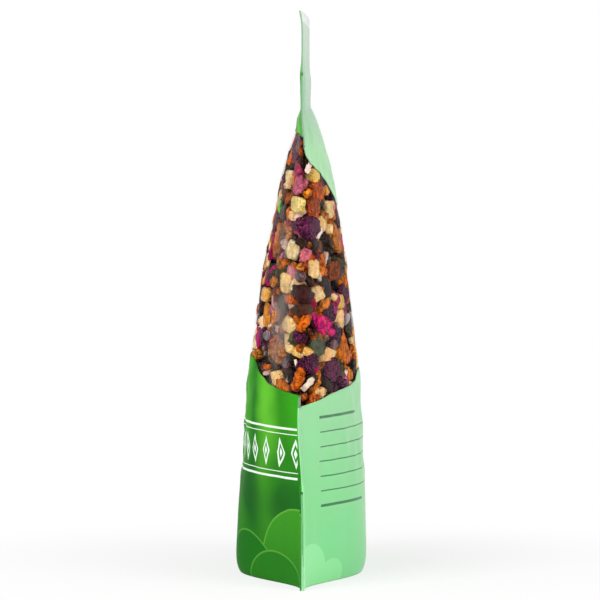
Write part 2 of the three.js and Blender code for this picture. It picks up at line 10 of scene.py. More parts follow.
import bmesh
import bpy
import numpy as np
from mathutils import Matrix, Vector

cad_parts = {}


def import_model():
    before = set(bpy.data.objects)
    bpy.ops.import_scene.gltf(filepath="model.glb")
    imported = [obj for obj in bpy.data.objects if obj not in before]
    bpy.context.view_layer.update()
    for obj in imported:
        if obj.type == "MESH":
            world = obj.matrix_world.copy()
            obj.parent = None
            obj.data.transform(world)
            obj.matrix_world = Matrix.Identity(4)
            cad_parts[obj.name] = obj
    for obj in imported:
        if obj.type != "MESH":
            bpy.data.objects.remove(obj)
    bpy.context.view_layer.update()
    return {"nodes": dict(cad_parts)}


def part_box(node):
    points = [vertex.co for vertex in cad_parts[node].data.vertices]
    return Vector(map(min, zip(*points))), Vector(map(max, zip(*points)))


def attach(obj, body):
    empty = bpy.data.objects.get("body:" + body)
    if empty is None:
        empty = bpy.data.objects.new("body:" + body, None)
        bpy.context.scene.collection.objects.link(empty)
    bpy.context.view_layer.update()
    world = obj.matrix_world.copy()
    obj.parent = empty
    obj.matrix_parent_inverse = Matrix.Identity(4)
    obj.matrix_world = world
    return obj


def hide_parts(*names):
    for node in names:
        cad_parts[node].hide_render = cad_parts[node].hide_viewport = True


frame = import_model()
MM = 0.001

# Sides of the pack along Y
FRONT = -1
BACK = 1

# Film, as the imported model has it
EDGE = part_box("front_panel")[1].x / MM
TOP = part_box("front_panel")[1].z / MM
FILM = 0.2
SEALED_FACE = 0.2
SIDE_SEAL = 5
TOP_SEAL = 12
BULGE_HALF = EDGE - SIDE_SEAL
BULGE_TOP = TOP - 33
TAPER = {FRONT: 0.8, BACK: 0.7}
LEAN = {FRONT: 1, BACK: -2.5}
SEAM_BEHIND = 1
SEAL_REACH = 8
CORNER_PINCH = 0.9
FOOT_TUCK = 1.7
FOOT_TUCK_HEIGHT = 2.5
TEAR_HEIGHT = TOP - 23
TEAR_DEPTH = 2.4
TEAR_MOUTH = 1.8
WELD_EDGE = 0.6
RIB_PITCH = 1.1
BARE_RIM = 3.5

# Gusset
LEAF = 35
FOOT_DEPTH = LEAF * 0.705
LEAF_PITCH = 0.55
GUSSET_SEAL_MID = 6
LEAF_SLACK = 0.72

# Zip inside the header
ZIP_HEIGHT = TOP - 30
ZIP_HOOKS = 0.55
ZIP_FLANGE = 0.2
ZIP_CLEARANCE = 0.1
ZIP_FOOT = ZIP_HEIGHT - 7
ZIP_HEAD = ZIP_HEIGHT + 7
ZIP_FADE = 4
ZIP_END = BULGE_HALF - 2.5
ZIP_CRUSH = BULGE_HALF - 16
ZIP_TRACK = 0.9

# Fill: how high it is, how near the films, how far the core and the scattered pieces reach along X,
# where the end pieces begin, and how dark and how deep the painted shade in the heap's pieces is
FILL_TOP = TOP - 42
FILM_TO_FRUIT = 0.3
CORE_HALF = 50
SCATTER_HALF = 42
FRUIT_FOOT = 64
PAINTED_SHADE_STRENGTH = 0.84
PAINTED_SHADE_DEPTH = 6.0
LEAST_ROOM = 1.2
UNDER_DEPTH = 3.4
END_SPREAD = 3.4


# Shape of the film

WAVES = 9


def unit(value):
    return np.clip(value, 0, 1)


def ramp(value, start, end):
    return unit((value - start) / (end - start))


def smooth(value, start, end):
    share = ramp(value, start, end)
    return share * share * (3 - 2 * share)


def hump(value, middle, width):
    return np.exp(-(((value - middle) / width) ** 2))


def ripples(u, v, reach, seed):
    """Smooth waves in every direction, about one high, with crests about reach apart."""
    draw = np.random.default_rng(seed)
    total = 0
    for _ in range(WAVES):
        angle, phase = draw.uniform(0, 2 * math.pi, 2)
        step = 2 * math.pi / (reach * draw.uniform(0.7, 1.5))
        total = total + np.sin((u * math.cos(angle) + v * math.sin(angle)) * step + phase)
    return total / math.sqrt(WAVES / 2)


def bulge(side, x, z):
    across = np.minimum(np.abs(x) / BULGE_HALF, 1)
    up = unit(z / BULGE_TOP)
    pinch = 1 + CORNER_PINCH * unit(1 - z / LEAF) ** 1.5
    lens = (1 - across**2) ** pinch
    depth = FOOT_DEPTH * (1 - up**2) ** TAPER[side]
    tuck = FOOT_TUCK * np.exp(-z / FOOT_TUCK_HEIGHT)
    return (depth + LEAN[side] * (1 - up) - tuck) * lens


def zip_room(x, z):
    across = ramp(np.abs(x), BULGE_HALF, ZIP_END)
    along = ramp(z, ZIP_FOOT - ZIP_FADE, ZIP_FOOT) * ramp(z, ZIP_HEAD + ZIP_FADE, ZIP_HEAD)
    half = ZIP_HOOKS * (0.5 + 0.5 * ramp(np.abs(x), ZIP_END, ZIP_CRUSH)) + ZIP_FLANGE
    return (half + ZIP_CLEARANCE + FILM / 2 - SEALED_FACE) * across * along


def half_depth(side, x, z):
    closed = LEAF + 14 - 9 * ramp(np.abs(x), BULGE_HALF - SEAL_REACH, BULGE_HALF)
    leaf = LEAF_PITCH * ramp(z, closed, LEAF + 2)
    return SEALED_FACE + leaf + np.maximum(bulge(side, x, z), zip_room(x, z))


def sway(x, z):
    """Where the seam plane lies, as the side seals and the header's near tip bend it."""
    wave = 0.85 * hump(z, 162, 14) - 1.7 * hump(z, 62, 18)
    flap = wave * ramp(z, ZIP_FOOT, ZIP_FOOT - 12) * (np.abs(x) / EDGE) ** 12
    tip = -0.9 * ramp(z, TOP - 8, TOP) ** 2 * ramp(x, 10, EDGE)
    return SEAM_BEHIND + flap + tip


def creases(x, z, corner_z, reach, folds, seed):
    """Folds that fan out from a corner of the bulge."""
    across = BULGE_HALF - np.abs(x)
    rise = z - corner_z
    far = np.hypot(across, rise)
    angle = np.arctan2(rise, across) + 0.15 * np.sign(x)
    band = hump(far, reach, 0.6 * reach) * ramp(far, 0, 0.5 * reach)
    return band * np.sin(folds * angle + seed + 0.07 * far)


def relief(side, x, z):
    """What the filled, handled film adds to its plain shape."""
    filled = smooth(z, 26, 52) * smooth(z, FILL_TOP + 4, FILL_TOP - 10)
    inside = smooth(np.abs(x), BULGE_HALF, BULGE_HALF - 14)
    lumps = 0.16 * ripples(x, z, 9, 3 + side) + 0.12 * ripples(x, z, 19, 11 + side)
    soft = 0.2 * ripples(x, z, 46, 23 + side) * smooth(z, 2, 24) * smooth(z, BULGE_TOP + 8, 140)
    folds = 0.24 * creases(x, z, BULGE_TOP - 2, 17, 9, 1.3 + side)
    folds = folds + 0.45 * creases(x, z, LEAF, 15, 8, 2.1 + side)
    header = 0.05 * ripples(x, z, 24, 31) * smooth(z, BULGE_TOP, ZIP_FOOT + 8)
    track = 0.1 * hump(np.abs(z - ZIP_HEIGHT), ZIP_TRACK, 0.45) * ramp(np.abs(x), BULGE_HALF, ZIP_CRUSH)
    inner = smooth(np.abs(x), BULGE_HALF, BULGE_HALF - 5)
    settled = -0.35 * filled
    if side == FRONT:
        settled = settled - 0.8 * (smooth(z, 3, 20) * smooth(z, 60, 40) + hump(z, 167, 10))
    total = (lumps * filled + soft + settled) * inside + folds * inner + header * inner + track
    over_zip = ramp(z, ZIP_FOOT - 5, ZIP_FOOT - 2) * ramp(z, ZIP_HEAD + 8, ZIP_HEAD + 3)
    return total * (1 - over_zip) + np.maximum(total, 0) * over_zip


def film_y(side, x, z, outward=0.0):
    return side * (half_depth(side, x, z) + relief(side, x, z) + outward) + sway(x, z)


def film_table(side):
    """film_y on a fine grid, since the loose pieces ask for it many thousand times."""
    xs = np.arange(-EDGE, EDGE + TABLE_STEP, TABLE_STEP)
    zs = np.arange(0, TOP + TABLE_STEP, TABLE_STEP)
    return film_y(side, *np.meshgrid(xs, zs, indexing="ij"))


def read_table(table, u, v):
    """A table's value between its points, at u and v steps."""
    u = np.clip(u, 0, table.shape[0] - 1.001)
    v = np.clip(v, 0, table.shape[1] - 1.001)
    i, j = u.astype(int), v.astype(int)
    u, v = u - i, v - j
    low = table[i, j] * (1 - u) + table[i + 1, j] * u
    high = table[i, j + 1] * (1 - u) + table[i + 1, j + 1] * u
    return low * (1 - v) + high * v


def quick_y(side, x, z):
    """film_y, read between the points of its table."""
    return read_table(TABLES[side], (x + EDGE) / TABLE_STEP, z / TABLE_STEP)


TABLE_STEP = 0.5
TABLES = {side: film_table(side) for side in (FRONT, BACK)}


def film_at(side, x, z, outward):
    return np.stack([x, film_y(side, x, z, outward), z], -1)


# Meshes

def make_mesh(name, points, faces, flat=(), materials=()):
    """A smooth object from points in millimetres. The faces numbered in flat stay flat."""
    mesh = bpy.data.meshes.new(name)
    mesh.from_pydata((np.asarray(points) * MM).tolist(), [], np.asarray(faces).tolist())
    shading = np.ones(len(mesh.polygons), bool)
    shading[list(flat)] = False
    mesh.polygons.foreach_set("use_smooth", shading)
    mesh.update()
    for material in materials:
        mesh.materials.append(material)
    piece = bpy.data.objects.new(name, mesh)
    bpy.context.scene.collection.objects.link(piece)
    return piece


def grid_faces(columns, rows, first, flip):
    """Faces of a grid whose points run up each column in turn."""
    a = (np.arange(columns - 1)[:, None] * rows + np.arange(rows - 1)).ravel() + first
    faces = np.stack([a, a + rows, a + rows + 1, a + 1], -1)
    return faces[:, ::-1] if flip else faces


def shell(outer, inner, side):
    """A closed sheet between two grids: its points, its faces and how many each broad side has."""
    columns, rows = outer.shape[:2]
    count = columns * rows
    points = np.concatenate([outer.reshape(-1, 3), inner.reshape(-1, 3)])
    number = np.arange(count).reshape(columns, rows)
    rim = np.concatenate([number[:-1, 0], number[-1, :-1], number[:0:-1, -1], number[0, :0:-1]])
    following = np.roll(rim, -1)
    edge = np.stack([rim, rim + count, following + count, following], -1)
    out = grid_faces(columns, rows, 0, side > 0)
    back = grid_faces(columns, rows, count, side < 0)
    faces = np.concatenate([out, back, edge if side < 0 else edge[:, ::-1]])
    return points, faces, len(out)


# Outline of the window in each film

BORDERS = {
    (FRONT, "low"): [
        (0, 82.6), (16, 82.2), (22, 81), (30, 76.2), (37, 73.3), (50, 71.5), (58, 70.7), (65, 70.5)],
    (FRONT, "high"): [(0, 166.8), (30, 166.3), (50, 165.2), (60, 164.5), (65, 164.4)],
    (BACK, "low"): [(0, 77.4), (7, 76.6), (14, 73.6), (20, 72.5), (40, 70.4), (60, 66.7), (65, 66.5)],
    (BACK, "high"): [(0, 138), (8, 140), (22, 146.4), (35, 151.1), (54, 156.2), (60, 160.5), (65, 161.2)],
}


def border(side, end, x):
    """Height of a window's edge at x, with its corners rounded off."""
    across, heights = zip(*BORDERS[side, end])
    around = np.abs(x)[..., None] + np.linspace(-2.5, 2.5, 7)
    return np.interp(np.abs(around), across, heights).mean(-1)


SEAL_COLUMNS = np.linspace(BULGE_HALF, EDGE, 6)[1:]
BULGE_COLUMNS = np.linspace(-BULGE_HALF, BULGE_HALF, 97)
COLUMNS = np.concatenate([-SEAL_COLUMNS[::-1], BULGE_COLUMNS, SEAL_COLUMNS])
FOOT_ROWS = np.concatenate([np.linspace(0, 6, 9), np.linspace(7.2, 58, 38)])
NOTCH_ROWS = TEAR_HEIGHT + TEAR_MOUTH * np.array([-0.5, 0, 0.5])
HEAD_ROWS = np.sort(np.concatenate([
    np.linspace(172, ZIP_HEIGHT - 2.4, 6), np.linspace(ZIP_HEIGHT - 1.8, ZIP_HEIGHT + 1.8, 9),
    np.linspace(ZIP_HEIGHT + 2.6, TEAR_HEIGHT - 1.6, 4), NOTCH_ROWS,
    np.linspace(TEAR_HEIGHT + 1.8, TOP, 17),
]))


def column_rows(side, part, x):
    """Heights of the points at x in a film's foot, head or window."""
    low, high = border(side, "low", x), border(side, "high", x)
    if part == "foot":
        return np.concatenate([FOOT_ROWS, np.linspace(FOOT_ROWS[-1], low, 12)[1:]])
    if part == "head":
        return np.concatenate([np.linspace(high, HEAD_ROWS[0], 18)[:-1], HEAD_ROWS])
    return np.linspace(low, high, 78)


def film_grid(side, part):
    """Places on a part of a film, cut back at the tear notches."""
    z = np.stack([column_rows(side, part, x) for x in COLUMNS])
    x = np.repeat(COLUMNS[:, None], z.shape[1], 1)
    cut = TEAR_DEPTH * unit(1 - np.abs(z - TEAR_HEIGHT) / (TEAR_MOUTH / 2))
    past = np.maximum(np.abs(x) - BULGE_HALF, 0) / SIDE_SEAL
    return x - np.sign(x) * past * cut, z


def welded(side, x, z):
    """Depth of the inner face under the film's middle: in the seals it meets the next leaf."""
    sides = smooth(np.abs(x), BULGE_HALF, BULGE_HALF + WELD_EDGE)
    seal = np.maximum(sides, smooth(z, TOP - TOP_SEAL - 0.5, TOP - TOP_SEAL + 0.5))
    meets = np.where(z <= LEAF, LEAF_PITCH - FILM / 2, half_depth(side, x, z) + relief(side, x, z))
    return FILM / 2 + (np.maximum(meets, FILM / 2) - FILM / 2) * seal


def film_piece(name, side, part, materials):
    """A part of a film, with materials for its outer face, inner face and cut edges."""
    x, z = film_grid(side, part)
    outer = film_at(side, x, z, FILM / 2)
    inner = film_at(side, x, z, -welded(side, x, z))
    points, faces, broad = shell(outer, inner, side)
    piece = make_mesh(name, points, faces, range(2 * broad, len(faces)), materials)
    slots = np.full(len(faces), 2)
    slots[:broad] = 0
    slots[broad:2 * broad] = 1
    piece.data.polygons.foreach_set("material_index", slots)
    return piece


def joined(name, pieces):
    """One object of several, with their materials kept."""
    bpy.ops.object.select_all(action="DESELECT")
    for piece in pieces:
        piece.select_set(True)
    bpy.context.view_layer.objects.active = pieces[0]
    bpy.ops.object.join()
    pieces[0].name = name
    pieces[0].data.name = name
    return pieces[0]


# Node materials

def rgb(red, green, blue):
    """A screen colour, from 0 to 255, as Blender's linear one."""
    share = np.array([red, green, blue]) / 255
    linear = np.where(share <= 0.04045, share / 12.92, ((share + 0.055) / 1.055) ** 2.4)
    return (*linear.tolist(), 1.0)


class Graph:
    """The nodes of a material or of the world, as calls that give back an output."""

    def __init__(self, name, is_world=False):
        self.block = (bpy.data.worlds if is_world else bpy.data.materials).new(name)
        self.block.use_nodes = True
        self.tree = self.block.node_tree
        self.tree.nodes.clear()

    def add(self, kind, inputs=None, output=0, **settings):
        node = self.tree.nodes.new("ShaderNode" + kind)
        for key, value in settings.items():
            setattr(node, key, value)
        for key, value in (inputs or {}).items():
            if isinstance(value, bpy.types.NodeSocket):
                self.tree.links.new(value, node.inputs[key])
            else:
                node.inputs[key].default_value = value
        return node.outputs[output]

    def math(self, operation, a, b=0.0):
        return self.add("Math", {0: a, 1: b}, operation=operation)

    plus = partialmethod(math, "ADD")
    minus = partialmethod(math, "SUBTRACT")
    times = partialmethod(math, "MULTIPLY")
    over = partialmethod(math, "DIVIDE")
    most = partialmethod(math, "MAXIMUM")
    absolute = partialmethod(math, "ABSOLUTE")

    def mix(self, share, a, b, blend="MIX"):
        return self.add("Mix", {0: share, 6: a, 7: b}, 2, data_type="RGBA", blend_type=blend)

    def ramp(self, value, stops, easing="LINEAR"):
        out = self.add("ValToRGB", {0: value})
        bands = out.node.color_ramp
        bands.interpolation = easing
        for place, *_ in stops[2:]:
            bands.elements.new(place)
        for element, (place, *shade) in zip(bands.elements, sorted(stops)):
            element.position = place
            element.color = rgb(*shade)
        return out

    def span(self, value, start, end, low=0.0, high=1.0):
        """value, mapped from start..end to low..high with soft ends."""
        places = {0: value, 1: start, 2: end, 3: low, 4: high}
        return self.add("MapRange", places, interpolation_type="SMOOTHSTEP")

    def noise(self, where, scale, detail=2.0):
        return self.add("TexNoise", {"Vector": where, "Scale": scale, "Detail": detail})

    def axis(self, where, number):
        return self.add("SeparateXYZ", {0: where}, number)

    def scaled(self, where, factors):
        return self.add("VectorMath", {0: where, 1: factors}, operation="MULTIPLY")

    def millimetres(self):
        return self.scaled(self.add("TexCoord", output=3), (1 / MM,) * 3)

    def bump(self, height, distance, strength=1.0):
        return self.add("Bump", {"Strength": strength, "Distance": distance * MM, "Height": height})

    def gloss(self, power, mirror):
        """The share of light that a film mirrors, which grows towards its silhouette."""
        slant = self.add("LayerWeight", {"Blend": 0.5}, 1)
        return self.plus(self.times(self.math("POWER", slant, power), mirror), 0.006)

    def mirrored(self, share, body, rough, normal):
        """body, with that share of it a white gloss."""
        shine = self.add("BsdfGlossy", {"Color": (1, 1, 1, 1), "Roughness": rough, "Normal": normal})
        return self.finish(self.add("MixShader", {0: share, 1: body, 2: shine}))

    def surface(self, paint, rough, mirror, normal, more=None):
        inputs = {"Base Color": paint, "Roughness": rough, "Specular IOR Level": mirror, "Normal": normal}
        return self.add("BsdfPrincipled", inputs | (more or {}))

    def dust_and_painted_glare(self, share, milk):
        """See-through film, with that share of it a flat milk colour: dust on the inner face, and painted
        reflection in the band beside the seam.
        """
        clear = self.add("BsdfTransparent", {"Color": (0.99, 0.99, 0.985, 1.0)})
        return self.add("MixShader", {0: share, 1: clear, 2: self.add("BsdfDiffuse", {"Color": milk})})

    def finish(self, shader):
        is_world = isinstance(self.block, bpy.types.World)
        out = self.tree.nodes.new("ShaderNodeOutput" + ("World" if is_world else "Material"))
        self.tree.links.new(shader, out.inputs["Surface"])
        return self.block


def disc(g, x, z, base, centre, radius, low, high, rim):
    """A soft disc printed over base, shaded from low to high, with a thin bright rim."""
    dx, dz = g.minus(x, centre[0]), g.minus(z, centre[1])
    far = g.math("SQRT", g.plus(g.times(dx, dx), g.times(dz, dz)))
    inside = g.span(far, radius + 0.12, radius - 0.12)
    shade = g.mix(g.span(dz, -radius, radius), low, high)
    edge = g.times(g.span(far, radius - 0.9, radius - 0.15), 0.55)
    return g.mix(inside, base, g.mix(edge, shade, rim))


def stroke(g, value, centre, width):
    """1 on a line of that width where value is centre, else 0."""
    return g.span(g.absolute(g.minus(value, centre)), width / 2 + 0.1, width / 2 - 0.1)


def printed_film(g, where, paint, rough, mirror, power):
    """What both printed films share: the bare rim, gloss, sealed ribs and handling marks."""
    x, z = g.axis(where, 0), g.axis(where, 2)
    rim = TOP - BARE_RIM
    paint = g.mix(g.span(z, rim - 0.2, rim), paint, rgb(226, 234, 228))
    side = g.span(g.absolute(x), BULGE_HALF + 0.2, BULGE_HALF + 0.8)
    head = g.span(z, TOP - TOP_SEAL - 0.3, TOP - TOP_SEAL + 0.3)
    ribs = g.math("SINE", g.times(g.plus(x, z), 2 * math.pi / RIB_PITCH))
    seal = g.times(g.most(side, head), ribs)
    height = g.plus(g.times(seal, 0.12), g.times(g.noise(where, 1.6, 3.0), 0.1))
    height = g.plus(height, g.times(g.noise(where, 0.11), 3.0))
    worn = g.plus(g.times(g.noise(where, 0.35, 4.0), 0.16), rough - 0.08)
    normal = g.bump(height, 0.12, 0.7)
    return g.mirrored(g.gloss(power, mirror), g.surface(paint, 0.6, 0.0, normal), worn, normal)


WHITE_INK = rgb(236, 250, 238)


def lozenges(g, x, z):
    """The white ink of the border: outlined lozenges between two pairs of rules."""
    off = g.absolute(g.minus(z, BORDER_HEIGHT))
    rules = g.most(stroke(g, off, BORDER_HALF, 0.8), stroke(g, off, BORDER_HALF - 2, 0.3))
    along = g.over(g.math("PINGPONG", x, BORDER_PITCH / 2), BORDER_PITCH * 0.26)
    lozenge = g.plus(along, g.over(off, 5.6))
    outline = g.span(g.absolute(g.minus(lozenge, 0.82)), 0.19, 0.15)
    figures = g.most(outline, g.span(lozenge, 0.36, 0.3))
    return g.times(g.most(rules, figures), g.span(g.absolute(x), BORDER_END, BORDER_END - 0.4))


def front_print():
    """Broad soft bands and overlapping discs in greens, with a lozenge border."""
    g = Graph("printed_front")
    where = g.millimetres()
    x, z = g.axis(where, 0), g.axis(where, 2)
    drift = g.times(g.minus(g.noise(g.scaled(where, (0.02, 0.0, 0.03)), 1.0, 1.0), 0.5), 22.0)
    paint = g.ramp(g.over(g.plus(g.plus(x, drift), EDGE), 2 * EDGE), BANDS, "EASE")
    patch = g.span(g.noise(where, 0.045, 1.0), 0.35, 0.65)
    paint = g.mix(g.span(z, 66, 30, 0.0, 0.85), paint, g.mix(patch, rgb(24, 90, 30), rgb(40, 118, 28)))
    for place_and_shades in DISCS:
        paint = disc(g, x, z, paint, *place_and_shades, rgb(120, 192, 76))
    paint = g.mix(lozenges(g, x, z), paint, WHITE_INK)
    return printed_film(g, where, paint, 0.3, 0.2, 10.0)


BANDS = [
    (0.0, 36, 124, 26), (1.0, 52, 158, 28), (0.12, 92, 184, 48),
    (0.24, 44, 136, 26), (0.36, 78, 172, 40), (0.48, 40, 130, 24),
    (0.6, 70, 164, 36), (0.7, 34, 122, 26), (0.79, 98, 190, 50),
    (0.87, 50, 140, 26), (0.94, 54, 158, 28),
]
DISCS = [
    ((58, 2), 27, rgb(20, 92, 22), rgb(60, 146, 36)),
    ((20, -6), 24, rgb(44, 132, 34), rgb(30, 112, 26)),
    ((-30, 10), 30, rgb(28, 104, 24), rgb(62, 150, 34)),
    ((-64, 30), 22, rgb(24, 94, 24), rgb(54, 138, 32)),
    ((40, -10), 22, rgb(62, 150, 40), rgb(40, 122, 30)),
]
BORDER_HEIGHT = 49
BORDER_HALF = 9
BORDER_PITCH = 9.6
BORDER_END = 58.6


def ruled_panel(g, x, z):
    """The dark ink of the empty panel's rules."""
    ink = 0.0
    for height, width, reach in PANEL_RULES:
        far = PANEL_NEAR - reach
        ends = g.times(g.span(x, PANEL_NEAR, PANEL_NEAR - 0.2), g.span(x, far, far + 0.2))
        ink = g.most(ink, g.times(stroke(g, z, height, width), ends))
    return g.times(ink, 0.85)


def back_print():
    """Mint with faint overlapping discs and a ruled panel that is left empty, greyer and paler at the head
    with painted reflection.
    """
    g = Graph("printed_back")
    where = g.millimetres()
    x, z = g.axis(where, 0), g.axis(where, 2)
    paint = g.ramp(g.over(z, TOP), MINTS_AND_PAINTED_SHEEN)
    for centre, radius, low, high in FAINT_DISCS:
        paint = disc(g, x, z, paint, centre, radius, low, high, high)
    paint = g.mix(ruled_panel(g, x, z), paint, rgb(40, 92, 62))
    return printed_film(g, where, paint, 0.34, 0.4, 4.0)


# Mint print up the back film. The greyer, paler mint of the top stops, at the head, is painted reflection
# over the print.
MINTS_AND_PAINTED_SHEEN = [
    (0.0, 130, 211, 141), (0.14, 134, 212, 144), (0.3, 148, 212, 155),
    (0.62, 168, 223, 170), (0.76, 158, 217, 158), (0.83, 130, 186, 142),
    (0.92, 164, 200, 168), (1.0, 184, 208, 186),
]


FAINT_DISCS = [
    ((30, -8), 34, rgb(124, 209, 139), rgb(130, 213, 144)),
    ((54, 4), 12, rgb(142, 222, 153), rgb(148, 226, 158)),
    ((38, 0), 9, rgb(140, 221, 151), rgb(146, 224, 156)),
    ((-28, 0), 30, rgb(126, 210, 140), rgb(134, 215, 147)),
]
PANEL_NEAR = 51
PANEL_RULES = [
    (62, 1.0, 34), (56.6, 0.45, 92), (51.2, 0.45, 92), (45.8, 0.45, 92),
    (40.4, 0.45, 92), (35, 0.45, 92), (29.6, 1.0, 34),
]


def bare_film():
    """The milky inner face of the printed films, and the head's cut edges."""
    g = Graph("film_inside")
    where = g.millimetres()
    paint = g.mix(g.noise(where, 0.4, 3.0), rgb(116, 150, 122), rgb(136, 168, 140))
    return g.finish(g.surface(paint, 0.5, 0.1, g.bump(g.noise(where, 1.2, 3.0), 0.05)))


def clear_film(name, painted_glare):
    """See-through film with a band of painted reflection beside the seam: grey-brown milky patches standing
    in for a lamp mirrored in the film.
    """
    g = Graph(name)
    where = g.millimetres()
    x = g.absolute(g.axis(where, 0))
    gloss = g.times(g.gloss(14.0, 0.06), g.span(x, BULGE_HALF - 1, BULGE_HALF - 4, 0.02, 1.0))
    band = g.times(g.span(x, 32, 43), g.span(x, 55, 46))
    # Painted reflection: cloudy grey-brown patches in the band beside the seam.
    glare_patches = g.span(g.noise(g.scaled(where, (0.03, 0.1, 0.06)), 1.0, 3.0), 0.35, 0.62)
    painted_glare_film = g.dust_and_painted_glare(g.times(g.times(band, glare_patches), painted_glare), rgb(150, 140, 134))
    height = g.plus(g.times(g.noise(where, 0.16), 2.6), g.times(g.noise(where, 1.1, 3.0), 0.12))
    return g.mirrored(gloss, painted_glare_film, 0.16, g.bump(height, 0.12, 0.8))


def clear_inside():
    g = Graph("clear_film_inside")
    dust = g.span(g.noise(g.millimetres(), 2.2, 3.0), 0.6, 0.75, 0.0, 0.02)
    return g.finish(g.dust_and_painted_glare(dust, rgb(214, 212, 206)))


def zip_plastic():
    g = Graph("zip_plastic")
    lines = g.noise(g.scaled(g.millimetres(), (0.1, 3.0, 3.0)), 1.0)
    paint = g.mix(lines, rgb(226, 234, 228), rgb(242, 246, 242))
    return g.finish(g.surface(paint, 0.36, 0.5, g.bump(lines, 0.03)))


def dried(name, dark, light, rough, coarse, grit, mirror=0.06, soft=0.0, specks=None, veins=0.0):
    """Dried fruit, mottled over each piece's tint (which carries the heap's painted shade), wrinkled, and
    crusted or veined if asked.
    """
    g = Graph(name)
    where = g.millimetres()
    # The tint attribute holds the piece's colour with painted shade already multiplied in.
    tint = g.add("Attribute", attribute_name="tint")
    blotch = g.noise(where, 1 / coarse, 4.0)
    fine = g.noise(where, 3 / coarse, 4.0)
    shades = [g.mix(1.0, tint, (*shade, 1.0), "MULTIPLY") for shade in (dark, light)]
    paint = g.mix(g.span(blotch, 0.36, 0.64), *shades)
    height = g.plus(fine, g.times(blotch, 1.4))
    if veins:
        line = g.add("TexWave", {"Vector": where, "Scale": 0.5, "Distortion": 6.0, "Detail": 2.0})
        paint = g.mix(g.times(line, veins), paint, shades[1])
        height = g.plus(height, g.times(line, 0.8))
    if specks:
        scale, share, shade = specks
        cells = {"Vector": where, "Scale": scale}
        cell = g.add("TexVoronoi", cells)
        lot = g.add("SeparateColor", {0: g.add("TexVoronoi", cells, 1)})
        grain = g.times(g.span(cell, 0.5, 0.25), g.span(lot, 1 - share, 1.06 - share))
        paint = g.mix(g.times(grain, 0.8), paint, shade)
        height = g.plus(height, g.times(g.span(cell, 0.6, 0.1), 1.6))
    rough = g.plus(g.times(fine, 0.3), rough - 0.15)
    flesh = {"Subsurface Weight": soft, "Subsurface Radius": (1.0, 0.5, 0.25), "Subsurface Scale": 0.0016}
    return g.finish(g.surface(paint, rough, mirror, g.bump(height, grit, 0.9), flesh if soft else None))


# Shapes of the loose pieces, in millimetres, lying with their thickness along Y

def ball(detail):
    shape = bmesh.new()
    bmesh.ops.create_icosphere(shape, subdivisions=detail, radius=0.5)
    points = np.array([v.co for v in shape.verts])
    faces = np.array([[v.index for v in f.verts] for f in shape.faces])
    shape.free()
    return points, faces


CUTS = 7
DRUPELETS = 34
BALLS = {detail: ball(detail) for detail in (2, 3)}


def new_seed(draw):
    return int(draw.integers(1 << 30))


def direction(draw):
    way = draw.normal(size=3)
    return way / np.linalg.norm(way)


def wobble(points, reach, seed):
    """Smooth noise in space, about one high, with bumps about reach apart."""
    draw = np.random.default_rng(seed)
    total = np.zeros(len(points))
    for _ in range(10):
        way = direction(draw)
        step = 2 * math.pi / (reach * draw.uniform(0.6, 1.5))
        total += np.sin(points @ way * step + draw.uniform(0, 2 * math.pi))
    return total / math.sqrt(5)


def roughened(draw, points, *waves):
    """Points moved in and out by waves, given as heights and reaches."""
    seed = new_seed(draw)
    lift = sum(height * wobble(points, reach, seed + i) for i, (height, reach) in enumerate(waves))
    return points * (1 + lift)[:, None]


def chunk(draw, size):
    """A torn or cut lump with some flat faces."""
    points, faces = BALLS[2]
    points = points.copy()
    for _ in range(CUTS):
        way = direction(draw)
        over = np.maximum(points @ way - draw.uniform(0.26, 0.42), 0)
        points -= np.outer(over, way)
    return roughened(draw, points, (0.09, 0.55), (0.05, 0.22)) * size, faces


def dice(draw, size):
    """Cut fruit, slightly askew, with soft edges."""
    points, faces = BALLS[3]
    power = draw.uniform(5, 8)
    reach = (np.abs(2 * points) ** power).sum(1) ** (1 / power)
    points = points / reach[:, None]
    lean = draw.uniform(-0.16, 0.16, 3)
    points = points + points[:, [2, 0, 0]] * lean
    return roughened(draw, points, (0.03, 0.5), (0.02, 0.16)) * size, faces


def bramble(draw, size):
    """A dried berry of many small drupelets."""
    points, faces = BALLS[3]
    around = points / np.linalg.norm(points, axis=1, keepdims=True)
    turn = np.arange(DRUPELETS) * math.pi * (3 - math.sqrt(5)) + draw.uniform(0, 6)
    rise = 1 - (2 * np.arange(DRUPELETS) + 1) / DRUPELETS
    round_it = np.sqrt(1 - rise**2)
    seeds = np.stack([round_it * np.cos(turn), round_it * np.sin(turn), rise], 1)
    seeds += draw.normal(0, 0.06, seeds.shape)
    seeds /= np.linalg.norm(seeds, axis=1, keepdims=True)
    near = np.arccos(np.clip(around @ seeds.T, -1, 1)).min(1)
    lift = np.sqrt(unit(1 - (near / 0.36) ** 2))
    sunken = 1 + 0.1 * wobble(around, 1.3, new_seed(draw))
    return around * ((0.4 + 0.1 * lift) * sunken)[:, None] * size, faces


def raisin(draw, size):
    """A small shrunken fruit with deep soft wrinkles."""
    points, faces = BALLS[3]
    seed = new_seed(draw)
    folds = np.abs(wobble(points * (1, 1, 0.5), 0.42, seed))
    return points * (0.92 + 0.16 * folds + 0.08 * wobble(points, 0.9, seed + 1))[:, None] * size, faces


def currant(draw, size):
    points, faces = BALLS[3]
    dent = 0.14 * np.exp(-((points - (0.1, 0.45, 0.15)) ** 2).sum(1) / 0.03)
    return points * (1 - dent + 0.03 * wobble(points, 0.6, new_seed(draw)))[:, None] * size, faces


